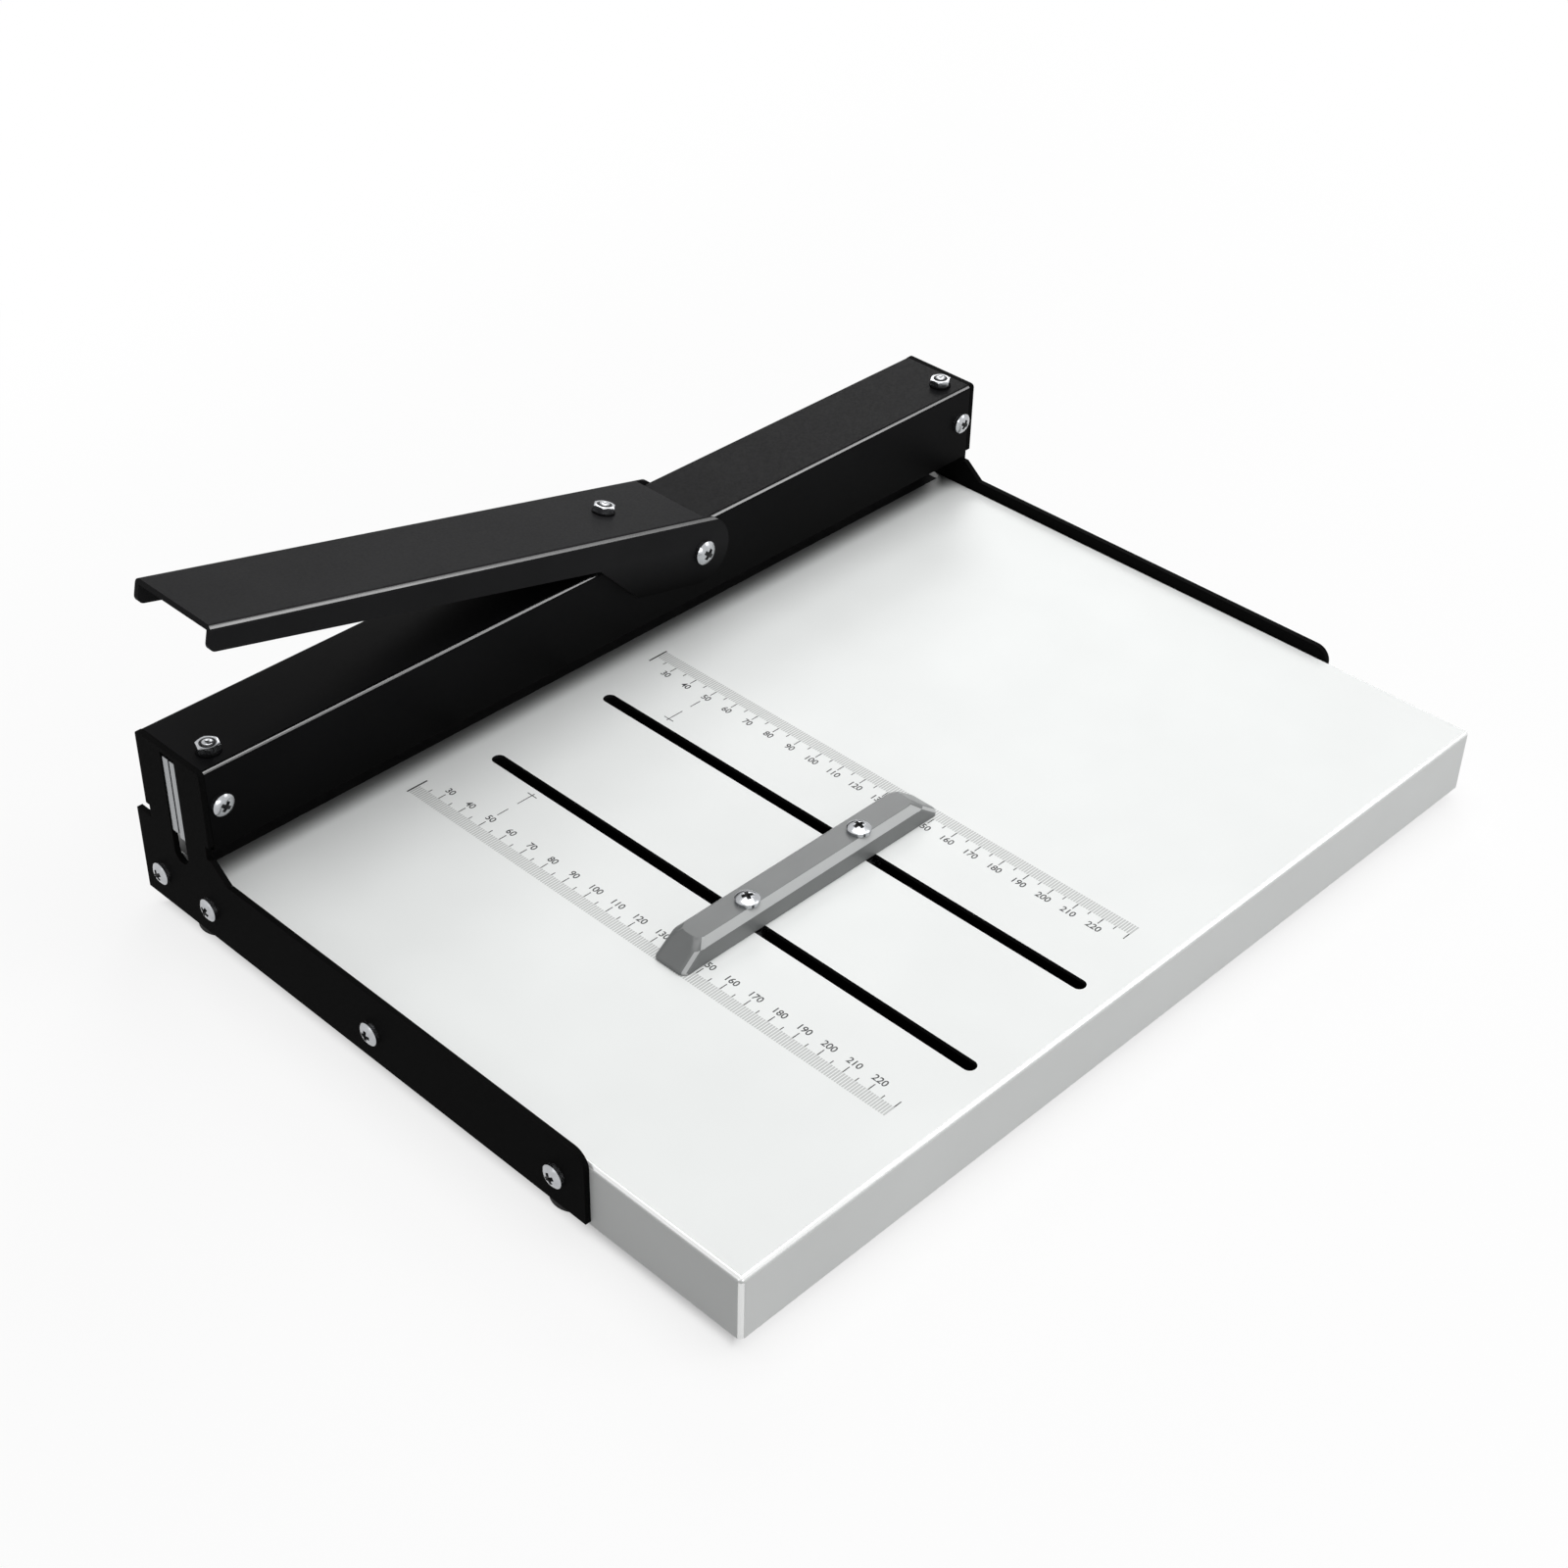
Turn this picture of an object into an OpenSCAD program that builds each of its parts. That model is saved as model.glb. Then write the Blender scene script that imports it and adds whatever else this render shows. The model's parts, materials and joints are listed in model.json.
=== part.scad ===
// Manual creasing machine: a flat table with a lever beam that presses a blunt blade into a grooved die.
// Every sub-part is drawn in the crease frame: y = 0 on the crease line, z = 0 on the table top.

/* [Table] */
// Width of the table between the two side plates
table_w = 352; // [320:1:400]
// Distance from the crease line to the front edge of the table
front_depth = 245.5; // [242:0.5:300]
// Depth of the table behind the die bed
rear_depth = 2.5; // [2.5:0.5:20]
// Height of the folded skirt round the table
skirt_h = 23.5; // [20:0.5:35]
// Thickness of the table sheet
sheet_t = 1.5; // [1:0.1:2]
// Inside radius of every fold in the sheets
bend_r = 0.2; // [0.1:0.1:2]
// Width of the lip folded in under each side skirt
lip_w = 22; // [18:1:35]
// Distance that each lip stops short of the front and rear skirts
lip_relief = 4; // [2:0.5:10]

/* [Side plates] */
// Thickness of the side plates
plate_t = 2; // [1.5:0.1:4]
// Distance from the crease line to the front end of the side plates
plate_front = 186.5; // [180:0.5:230]
// Distance from the lower edge of the skirt up to the side plates
plate_lift = 1.5; // [0:0.5:3]
// Height of the paper rail above the table
rail_h = 4; // [3:0.5:8]
// Radius of the rail's front corner
rail_corner_r = 5.5; // [2:0.5:6]
// Width of the sloped shoulder below the beam
shoulder_w = 7.5; // [5:0.5:9]
// Rise of the sloped shoulder
shoulder_rise = 6; // [3:0.5:6]
// Height of the bend relief cut into the tower edges
relief_h = 5; // [2:0.5:5]
// Depth of the bend relief
relief_d = 1.8; // [0.5:0.1:2]
// Depth of the plate screws below the table top
screw_drop = 11; // [10:0.5:13]
// Distance from the crease line to the middle plate screw
mid_screw_y = 92.7; // [60:0.1:130]
// Distance from the front end of the plate to its front screw
front_screw_in = 12.2; // [8:0.1:20]
// Distance between the two screws that hold the die bed
bed_screw_gap = 25.4; // [20:0.1:28]

/* [Beam cover] */
// Width of the cover over its two walls
cover_w = 33; // [31:0.5:36]
// Height of the cover above the table
cover_top = 43; // [40:0.5:50]
// Thickness of the cover sheet
cover_t = 1.5; // [1:0.1:2]
// Height of the cover's lower edge above the table
cover_gap = 13; // [12:0.5:16]
// Thickness of the tabs that the cover is screwed to
tab_t = 2; // [1.5:0.1:3]
// Length of the cover tabs
tab_len = 13; // [9:0.5:20]
// Distance from the side plate to the cover screws
cover_screw_in = 4.8; // [4.6:0.1:8]
// Height of the cover screws above the table
cover_screw_h = 29; // [23:0.5:34]

/* [Lever] */
// Length of the lever from its pivot to the free end
lever_len = 208; // [150:0.5:215]
// Thickness of the lever sheet
lever_t = 2; // [1.5:0.1:2.5]
// Gap between the lever's cheeks and the cover on each side
cheek_gap = 0.5; // [0.4:0.1:1]
// Depth of the lever's side at the free end
side_d = 8.6; // [7:0.1:11]
// Depth of the lever's side where the cheek begins
side_root_d = 11.4; // [9:0.1:12]
// Distance from the pivot to where the cheek begins
cheek_start = 49.5; // [45:0.1:70]
// Distance from the pivot to where the cheek is full depth
cheek_full = 29; // [15:0.1:32]
// Distance of the pivot right of the table's middle
pivot_x = 31.4; // [25:0.1:40]
// Depth of the pivot below the cover top
pivot_drop = 10.3; // [9:0.1:12]
// Angle of the open lever above the table
lever_open = 13.46; // [12:0.01:15]
// Angle that the lever swings down
lever_throw = 11; // [9:0.1:11]
// Radius of the pivot pins
pivot_r = 3; // [2.5:0.1:3.5]

/* [Blade holder] */
// Thickness of each clamp bar
clamp_t = 3; // [2.5:0.1:3.2]
// Height of the front clamp bar
clamp_h = 30; // [25:0.5:30.5]
// Height that the rear clamp bar lacks at its lower edge
rear_clamp_short = 1.2; // [0:0.1:3]
// Thickness of the creasing blade
blade_t = 0.7; // [0.4:0.1:1]
// Height of the open paper gap under the blade
paper_gap = 5.9; // [5:0.1:6]
// Gap between the clamp bars and the inside of the cover top
holder_gap = 1.5; // [1:0.1:3]
// Distance between neighbouring clamp screws
clamp_screw_pitch = 70; // [50:1:75]
// Depth of the clamp screws below the top of the clamp bars
clamp_screw_drop = 16.8; // [14:0.1:20]
// Number of clamp screws
clamp_screw_count = 5; // [3:2:5]
// Length of the press pad
pad_len = 16; // [12:1:24]
// Depth of the press pad
pad_h = 4; // [3:0.5:6]

/* [Press stud and guides] */
// Distance from the lever pivot to the press stud
press_arm = 33; // [30:0.5:36]
// Radius of the threaded studs
stud_r = 2; // [1.8:0.1:3.2]
// Width of the stud nuts across their flats
nut_af = 7; // [6.5:0.5:11]
// Height of the stud nuts
nut_h = 2.4; // [2.2:0.1:5.5]
// Thickness of the stud washers
washer_t = 0.5; // [0.4:0.1:1.6]
// Length of stud that shows above the guide nuts
guide_tail = 0.6; // [0.5:0.1:3]
// Length of stud that shows above the lever nut
press_tail = 0.6; // [0.5:0.1:4]
// Distance from the side plate to the guide studs
guide_in = 8; // [8:0.1:12]
// Distance of the guide studs in front of the crease line
guide_front = 8; // [7.9:0.1:8.3]
// Wire thickness of the return springs
wire_d = 0.8; // [0.5:0.1:0.9]
// Number of curls of each return spring
spring_curls = 7; // [4:1:8]

/* [Stop] */
// Distance of the gauge left of the table's middle
gauge_left = 46.4; // [30:0.1:60]
// Distance between the two gauge slots
slot_pitch = 50; // [40:1:70]
// Width of the gauge slots
gauge_slot_w = 4.8; // [4.4:0.1:6]
// Distance from the crease line to the rear end of the slots
slot_rear = 25; // [25:0.5:30]
// Distance from the crease line to the front end of the slots
slot_front = 236; // [200:0.5:238]
// Distance from the crease line to the paper face of the stop
stop_at = 135.5; // [40:0.5:210]
// Length of the stop at its base
stop_len = 115; // [90:1:140]
// Width of the stop
stop_w = 13.7; // [12:0.1:20]
// Height of the stop
stop_h = 7.8; // [6:0.1:9]
// Length of the slope at each end of the stop
stop_slope = 9; // [4:0.5:14]
// Distance from the paper face to the stop screws
stop_screw_in = 8; // [6.5:0.1:9]

/* [Die] */
// Width of the creasing die
die_w = 12; // [8:0.5:14]
// Thickness of the creasing die
die_t = 5; // [4.5:0.1:5.5]
// Width of the groove in the die
groove_w = 2; // [1.4:0.1:3]
// Depth of the groove in the die
groove_d = 1.2; // [0.8:0.1:1.5]
// Width of the bed that carries the die
bed_w = 40; // [38:0.5:40]
// Wall of the bed
bed_t = 3; // [2:0.1:3]
// Height of the bed
bed_h = 12; // [11:0.5:12.5]

// Distance between neighbouring die screws
die_screw_pitch = 87; // [60:1:100]
// Number of die screws
die_screw_count = 4; // [2:1:5]

/* [Feet] */
// Height of the feet below the skirt
foot_h = 5; // [3.5:0.5:10]
// Radius of the feet
foot_r = 8.4; // [7:0.1:8.5]
// Distance from the table's side to the centres of the feet
foot_in = 8.6; // [8.6:0.1:13]
// Distance of the rear feet in front of the crease line
rear_foot_y = 2; // [0:0.5:9]
// Distance of the front feet in front of the crease line
front_foot_y = 171; // [140:0.5:220]

/* [Hidden] */
$fn = 48;

// Colours of the finishes
paper_white = "#F0F2F1";
satin_black = "#1C1C1D";
bright_zinc = "#C9CBCD";
ground_steel = "#A9ACAE";
spring_steel = "#7D8084";
stop_grey = "#8F9191";
foot_black = "#202020";
nylon_white = "#E6E4DC";

// Named clearances
cut = 1;
thread_clear = 0.05;
run_clear = 0.05;
hole_clear = 0.2;
slide_clear = 0.2;
rest_gap = 0.1;
side_gap = 0.1;
stop_gap = 0.2;
free_gap = 0.3;
tab_gap = 1;

// Places in a row about the middle
function row(count, pitch) = [for (i = [0:count - 1]) (i - (count - 1) / 2) * pitch];

// Place of the crease line and of the table top
rear_edge = bed_w / 2 + rear_depth;
crease_y = (front_depth - rear_edge) / 2;
table_z = foot_h + skirt_h;
table_half = table_w / 2;
outer_half = table_half + plate_t;

// Outer radius of the folds in each sheet
table_fold_r = sheet_t + bend_r;
cover_fold_r = cover_t + bend_r;
lever_fold_r = lever_t + bend_r;

// Screw sizes
plate_head_r = 3.9;
plate_head_h = 2.6;
m4_r = 2;
m4_head_r = 3.6;
m4_head_h = 2.4;
m4_nut_af = 7;
m4_nut_h = 3.2;
pivot_head_r = 4.4;
screw_tail = 1;
foot_taper = 0.3;
sole_edge = 0.4;

// Side plates and bed
plate_low = plate_lift - skirt_h;
tower_half = cover_w / 2;
relief_z = rail_h + shoulder_rise;
tab_low = relief_z + relief_h;
tab_high = cover_top - cover_t - tab_gap;
tab_y = tower_half - cover_t;
tab_inner_y = tab_y - tab_t;
bed_screw_y = bed_screw_gap / 2;
front_screw_y = plate_front - front_screw_in;
plate_screw_places = [bed_screw_y, -bed_screw_y, -mid_screw_y, -front_screw_y];
nut_screw_places = [-mid_screw_y, -front_screw_y];
bed_half = table_half - sheet_t;
bed_top = -die_t;
bed_low = bed_top - bed_h;
die_half = bed_half - bed_t;
die_screw_places = row(die_screw_count, die_screw_pitch);
die_thread = 3;
foot_places = [for (x = [-1, 1], y = [rear_foot_y, front_foot_y]) [x * (table_half - foot_in), -y]];

// Lever
lever_half = tower_half + cheek_gap + lever_t;
pivot_h = cover_top - pivot_drop;
lever_under = pivot_drop + stop_gap;
lever_top = lever_under + lever_t;
lever_end = (pivot_drop + stop_gap - lever_under * cos(lever_open)) / sin(lever_open);
cheek_r = lever_top;
side_corner_r = 2.5;
pressed = lever_open - lever_throw;
pivot_head_h = 3;
boss_r = 5.5;
boss_len = 4.5;
pivot_washer_r = 6;
pivot_washer_t = cheek_gap - rest_gap;

// Blade holder and the stroke that the stud gives it
holder_top = cover_top - cover_t - holder_gap;
holder_t = 2 * clamp_t + blade_t;
holder_half = holder_t / 2;
clamp_low = holder_top - clamp_h;
tip_r = stud_r;
tip_v = (holder_top - pivot_h + rest_gap + tip_r - press_arm * sin(lever_open)) / cos(lever_open);
stroke = press_arm * (sin(lever_open) - sin(pressed)) + tip_v * (cos(lever_open) - cos(pressed));
slot_w = holder_t + 2 * slide_clear;
slot_centre_z = clamp_low - stroke - free_gap;
blade_top_in = 1;
clamp_screw_z = holder_top - clamp_screw_drop;
clamp_screw_places = row(clamp_screw_count, clamp_screw_pitch);

// Press stud and its way through the cover, which it crosses farther out as the lever goes down
function stud_crosses(angle) = (pivot_drop * sin(angle) - press_arm) / cos(angle);
stud_collar_r = 5;
stud_collar_t = 1.3;
press_hole_r = 5;
press_hole_x = pivot_x + (stud_crosses(lever_open) + stud_crosses(pressed)) / 2;
washer_r = 4.1;

// Guides and springs
guide_x = table_half - guide_in;
collar_r = 4.2;
collar_h = 3.2;
collar_low = cover_top - cover_t - collar_h;
lug_t = 3;
lug_w = 12;
lug_top = collar_low - rest_gap;
lug_low = lug_top - lug_t;
seat_h = 4;
seat_top = cover_gap + seat_h;
seat_slot_w = 1.4;
coil_r = stud_r + free_gap + wire_d / 2;
spring_low = seat_top + rest_gap + wire_d / 2;
spring_high = lug_low - rest_gap - wire_d / 2;

// Stop
slot_places = [-gauge_left - slot_pitch / 2, -gauge_left + slot_pitch / 2];
stop_screw_y = -stop_at - stop_screw_in;
stop_lean = 0.6;
stop_front_run = 2.4;
stop_front_drop = 2.2;
stop_rear_cut = 1.8;
stop_end_h = 1.2;
stop_head_r = 4;
slide_washer_t = 1;
slide_washer_r = 5;
slide_nut_l = 12;
slide_nut_w = 9;
slide_nut_t = 4;
slide_top = -sheet_t - rest_gap;

module at_crease() {
    translate([0, crease_y, table_z])
        children();
}

// The lever's own frame: its pivot at the origin, its free end towards -x, level when pressed flat
module at_lever() {
    at_crease()
        translate([pivot_x, 0, pivot_h])
            rotate([0, lever_open, 0])
                children();
}

// A flat outline in y and z, drawn out along x
module along_x(from, to) {
    translate([from, 0, 0])
        rotate([90, 0, 90])
            linear_extrude(to - from)
                children();
}

// A flat outline in x and z, drawn out along y
module along_y(from, to) {
    translate([0, to, 0])
        rotate([90, 0, 0])
            linear_extrude(to - from)
                children();
}

// A cross-section with two rounded upper corners
module arch(left, right, low, high, r) {
    translate([left, low])
        square([right - left, high - r - low]);
    translate([left + r, low])
        square([right - left - 2 * r, high - low]);
    for (x = [left + r, right - r])
        translate([x, high - r])
            circle(r);
}

// A folded pan, set in by one distance all round
module pan(inset, low) {
    intersection() {
        along_x(inset - table_half, table_half - inset)
            arch(inset - front_depth, rear_edge - inset, low, -inset, table_fold_r - inset);
        along_y(-front_depth, rear_edge)
            arch(inset - table_half, table_half - inset, low, -inset, table_fold_r - inset);
    }
}

module ring(outer_r, inner_r, h) {
    difference() {
        cylinder(r = outer_r, h = h);
        translate([0, 0, -cut])
            cylinder(r = inner_r, h = h + 2 * cut);
    }
}

// A hex nut with its corners turned off at both ends
module hex_nut(across, h, thread_r) {
    corner_r = across / sqrt(3);
    turned = 0.13 * across / 2;
    difference() {
        intersection() {
            cylinder(r = corner_r, h = h, $fn = 6);
            rotate_extrude()
                polygon([
                    [0, 0], [across / 2, 0], [corner_r, turned],
                    [corner_r, h - turned], [across / 2, h], [0, h]
                ]);
        }
        translate([0, 0, -cut])
            cylinder(r = thread_r + thread_clear, h = h + 2 * cut);
    }
}

// A domed screw with a cross recess, its head seated on z = 0 and its shank pointing down
module pan_screw(head_r, head_h, shank_r, shank_len) {
    edge_h = 0.4 * head_h;
    dome_h = head_h - edge_h;
    dome_r = (head_r * head_r + dome_h * dome_h) / (2 * dome_h);
    recess_l = 1.1 * head_r;
    recess_w = 0.26 * head_r;
    recess_d = 0.55 * head_h;
    difference() {
        union() {
            rotate_extrude()
                intersection() {
                    square([head_r, head_h]);
                    translate([0, head_h - dome_r])
                        circle(dome_r, $fn = 96);
                }
            translate([0, 0, -shank_len])
                cylinder(r = shank_r, h = shank_len + edge_h);
        }
        for (turn = [0, 90])
            rotate(turn)
                translate([-recess_l / 2, -recess_w / 2, head_h - recess_d])
                    cube([recess_l, recess_w, recess_d + cut]);
    }
}

// A row of holes through the side wall at each plate screw
module plate_screw_holes(places, r, from, to) {
    for (y = places)
        translate([from, y, -screw_drop])
            rotate([0, 90, 0])
                cylinder(r = r, h = to - from);
}

module table_top() {
    color(paper_white)
        at_crease()
            difference() {
                union() {
                    difference() {
                        pan(0, -skirt_h);
                        pan(sheet_t, -skirt_h - cut);
                    }
                    side_lip();
                    mirror([1, 0, 0])
                        side_lip();
                }
                translate([-die_half - slide_clear, -die_w / 2 - slide_clear, -sheet_t - cut])
                    cube([2 * (die_half + slide_clear), die_w + 2 * slide_clear, sheet_t + 2 * cut]);
                for (x = slot_places)
                    gauge_slot(x);
                for (side = [0, 1])
                    mirror([side, 0, 0])
                        plate_screw_holes(plate_screw_places, m4_r + hole_clear,
                            -table_half - cut, cut - bed_half);
                for (p = foot_places)
                    translate([p[0], p[1], -skirt_h - cut])
                        cylinder(r = m4_r + hole_clear, h = sheet_t + 2 * cut);
            }
}

module side_lip() {
    translate([-bed_half - sheet_t / 2, lip_relief + sheet_t - front_depth, -skirt_h])
        cube([lip_w - sheet_t / 2, front_depth + rear_edge - 2 * (lip_relief + sheet_t), sheet_t]);
}

module gauge_slot(x) {
    r = gauge_slot_w / 2;
    translate([x, 0, -sheet_t - cut])
        linear_extrude(sheet_t + 2 * cut) {
            translate([-r, r - slot_front])
                square([gauge_slot_w, slot_front - slot_rear - gauge_slot_w]);
            for (y = [r - slot_front, -slot_rear - r])
                translate([0, y])
                    circle(r);
        }
}

// Outline of a side plate: a low rail in front, a sloped shoulder, the tower that carries the beam
// and a square ledge behind it
module plate_outline() {
    difference() {
        union() {
            translate([-plate_front, plate_low])
                square([plate_front + rear_edge, rail_h - rail_corner_r - plate_low]);
            translate([rail_corner_r - plate_front, plate_low])
                square([plate_front + rear_edge - rail_corner_r, rail_h - plate_low]);
            translate([rail_corner_r - plate_front, rail_h - rail_corner_r])
                circle(rail_corner_r);
            translate([-tower_half, plate_low])
                square([2 * tower_half, cover_top - plate_low]);
            polygon([
                [-tower_half - shoulder_w, rail_h], [-tower_half, relief_z],
                [rear_edge, relief_z], [rear_edge, rail_h]
            ]);
        }
        for (side = [-1, 1])
            translate([side * tower_half - relief_d, relief_z])
                square([2 * relief_d, relief_h]);
        translate([0, slot_centre_z])
            circle(slot_w / 2);
        translate([-slot_w / 2, slot_centre_z])
            square([slot_w, cover_top - cover_t - slot_centre_z]);
    }
}

module side_plate() {
    difference() {
        union() {
            along_x(-outer_half, -table_half)
                plate_outline();
            for (low = [-tab_y, tab_inner_y])
                translate([-table_half - plate_t / 2, low, tab_low])
                    cube([tab_len + plate_t / 2, tab_t, tab_high - tab_low]);
        }
        plate_screw_holes(plate_screw_places, m4_r + hole_clear, -outer_half - cut, cut - table_half);
        translate([cover_screw_in - table_half, tab_y + cut, cover_screw_h])
            rotate([90, 0, 0])
                cylinder(r = m4_r + thread_clear, h = 2 * (tab_y + cut));
    }
}

module left_side_plate() {
    color(satin_black)
        at_crease()
            side_plate();
}

module right_side_plate() {
    color(satin_black)
        at_crease()
            mirror([1, 0, 0])
                side_plate();
}

module side_plate_screws() {
    short = plate_t + sheet_t + bed_t + screw_tail;
    long = plate_t + sheet_t + m4_nut_h + screw_tail;
    color(bright_zinc)
        at_crease()
            for (side = [0, 1], y = plate_screw_places)
                mirror([side, 0, 0])
                    translate([-outer_half, y, -screw_drop])
                        rotate([0, -90, 0])
                            pan_screw(plate_head_r, plate_head_h, m4_r, abs(y) > bed_screw_y ? long : short);
}

module side_plate_nuts() {
    color(bright_zinc)
        at_crease()
            for (side = [0, 1], y = nut_screw_places)
                mirror([side, 0, 0])
                    translate([-bed_half, y, -screw_drop])
                        rotate([0, 90, 0])
                            hex_nut(m4_nut_af, m4_nut_h, m4_r);
}

// A tapered rubber foot with a sunk screw seat
module foot() {
    sole_r = foot_r - foot_taper;
    seat_depth = foot_h / 2;
    difference() {
        rotate_extrude()
            polygon([[0, 0], [sole_r - sole_edge, 0], [sole_r, sole_edge], [foot_r, foot_h], [0, foot_h]]);
        translate([0, 0, -cut])
            cylinder(r = m4_head_r + free_gap, h = seat_depth + cut);
        cylinder(r = m4_r + thread_clear, h = foot_h + cut);
    }
}

module rubber_feet() {
    color(foot_black)
        at_crease()
            for (p = foot_places)
                translate([p[0], p[1], -table_z])
                    foot();
}

module foot_screws() {
    reach = foot_h / 2 + sheet_t + m4_nut_h + screw_tail;
    head_h = foot_h / 2 - 2 * free_gap;
    color(bright_zinc)
        at_crease()
            for (p = foot_places)
                translate([p[0], p[1], foot_h / 2 - table_z])
                    rotate([180, 0, 0])
                        pan_screw(m4_head_r, head_h, m4_r, reach);
}

module foot_nuts() {
    color(bright_zinc)
        at_crease()
            for (p = foot_places)
                translate([p[0], p[1], sheet_t - skirt_h])
                    hex_nut(m4_nut_af, m4_nut_h, m4_r);
}

// Inverted channel under the table, closed by an end wall at each side plate
module die_bed() {
    color(ground_steel)
        at_crease()
            difference() {
                translate([-bed_half, -bed_w / 2, bed_low])
                    cube([2 * bed_half, bed_w, bed_h]);
                translate([-bed_half + bed_t, bed_t - bed_w / 2, bed_low - cut])
                    cube([2 * (bed_half - bed_t), bed_w - 2 * bed_t, bed_h - bed_t + cut]);
                for (side = [0, 1])
                    mirror([side, 0, 0])
                        plate_screw_holes([bed_screw_y, -bed_screw_y], m4_r + thread_clear,
                            -bed_half - cut, bed_t - bed_half + cut);
                for (x = die_screw_places)
                    translate([x, 0, bed_top - bed_t - cut])
                        cylinder(r = m4_r + hole_clear, h = bed_t + 2 * cut);
            }
}

// Hardened strip, flush with the table, with the groove that the blade presses into
module creasing_die() {
    color(ground_steel)
        at_crease()
            difference() {
                translate([-die_half, -die_w / 2, -die_t])
                    cube([2 * die_half, die_w, die_t]);
                translate([-die_half - cut, -groove_w / 2, -groove_d])
                    cube([2 * (die_half + cut), groove_w, groove_d + cut]);
                for (x = die_screw_places)
                    translate([x, 0, -die_t - cut])
                        cylinder(r = m4_r + thread_clear, h = die_thread + cut);
            }
}

module die_screws() {
    color(bright_zinc)
        at_crease()
            for (x = die_screw_places)
                translate([x, 0, bed_top - bed_t])
                    rotate([180, 0, 0])
                        pan_screw(m4_head_r, m4_head_h, m4_r, bed_t + die_thread - screw_tail / 2);
}

// Folded sheet cover of the beam, open below
module beam_cover() {
    half = table_half - side_gap;
    color(satin_black)
        at_crease()
            difference() {
                along_x(-half, half)
                    arch(-tower_half, tower_half, cover_gap, cover_top, cover_fold_r);
                along_x(-half - cut, half + cut)
                    arch(-tab_y, tab_y, cover_gap - cut, cover_top - cover_t, cover_fold_r - cover_t);
                for (x = [-guide_x, guide_x])
                    translate([x, -guide_front, cover_top - cover_t - cut])
                        cylinder(r = stud_r + hole_clear, h = cover_t + 2 * cut);
                translate([press_hole_x, 0, cover_top - cover_t - cut])
                    cylinder(r = press_hole_r, h = cover_t + 2 * cut);
                translate([pivot_x, tower_half + cut, pivot_h])
                    rotate([90, 0, 0])
                        cylinder(r = pivot_r + thread_clear, h = 2 * (tower_half + cut));
                for (x = [cover_screw_in - table_half, table_half - cover_screw_in])
                    translate([x, tower_half + cut, cover_screw_h])
                        rotate([90, 0, 0])
                            cylinder(r = m4_r + hole_clear, h = 2 * (tower_half + cut));
            }
}

module cover_screws() {
    color(bright_zinc)
        at_crease()
            for (x = [cover_screw_in - table_half, table_half - cover_screw_in], side = [0, 1])
                mirror([0, side, 0])
                    translate([x, -tower_half, cover_screw_h])
                        rotate([90, 0, 0])
                            pan_screw(plate_head_r, plate_head_h, m4_r, cover_t + tab_t);
}

// Everything on the pivot line is drawn once for the front and mirrored to the rear
module both_cheeks() {
    at_crease()
        for (side = [0, 1])
            mirror([0, side, 0])
                translate([pivot_x, 0, pivot_h])
                    rotate([90, 0, 0])
                        children();
}

module pivot_screws() {
    shoulder = lever_half + rest_gap;
    color(bright_zinc)
        both_cheeks()
            translate([0, 0, shoulder])
                pan_screw(pivot_head_r, pivot_head_h, pivot_r, shoulder - tab_y + boss_len);
}

module pivot_bosses() {
    color(bright_zinc)
        both_cheeks()
            translate([0, 0, tab_y - boss_len])
                ring(boss_r, pivot_r + thread_clear, boss_len);
}

module pivot_washers() {
    color(nylon_white)
        both_cheeks()
            translate([0, 0, tower_half])
                ring(pivot_washer_r, pivot_r + thread_clear, pivot_washer_t);
}

module both_guides() {
    at_crease()
        for (x = [-guide_x, guide_x])
            translate([x, -guide_front, 0])
                children();
}

// Stud that hangs from the cover top, with a collar that stops the holder's lug
module guide_studs() {
    top = cover_top + washer_t + nut_h + guide_tail;
    color(bright_zinc)
        both_guides()
            union() {
                translate([0, 0, cover_gap - screw_tail])
                    cylinder(r = stud_r, h = top - cover_gap + screw_tail);
                translate([0, 0, collar_low])
                    cylinder(r = collar_r, h = collar_h);
            }
}

module guide_nuts() {
    color(bright_zinc)
        both_guides()
            translate([0, 0, cover_top + washer_t])
                hex_nut(nut_af, nut_h, stud_r);
}

module guide_washers() {
    color(bright_zinc)
        both_guides()
            translate([0, 0, cover_top])
                ring(washer_r, stud_r + hole_clear, washer_t);
}

// Round slotted nut that the return spring stands on
module spring_seat_nuts() {
    color(bright_zinc)
        both_guides()
            difference() {
                translate([0, 0, cover_gap])
                    ring(collar_r, stud_r + thread_clear, seat_h);
                translate([-collar_r - cut, -seat_slot_w / 2, cover_gap - cut])
                    cube([2 * (collar_r + cut), seat_slot_w, cut + seat_h / 3]);
            }
}

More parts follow.
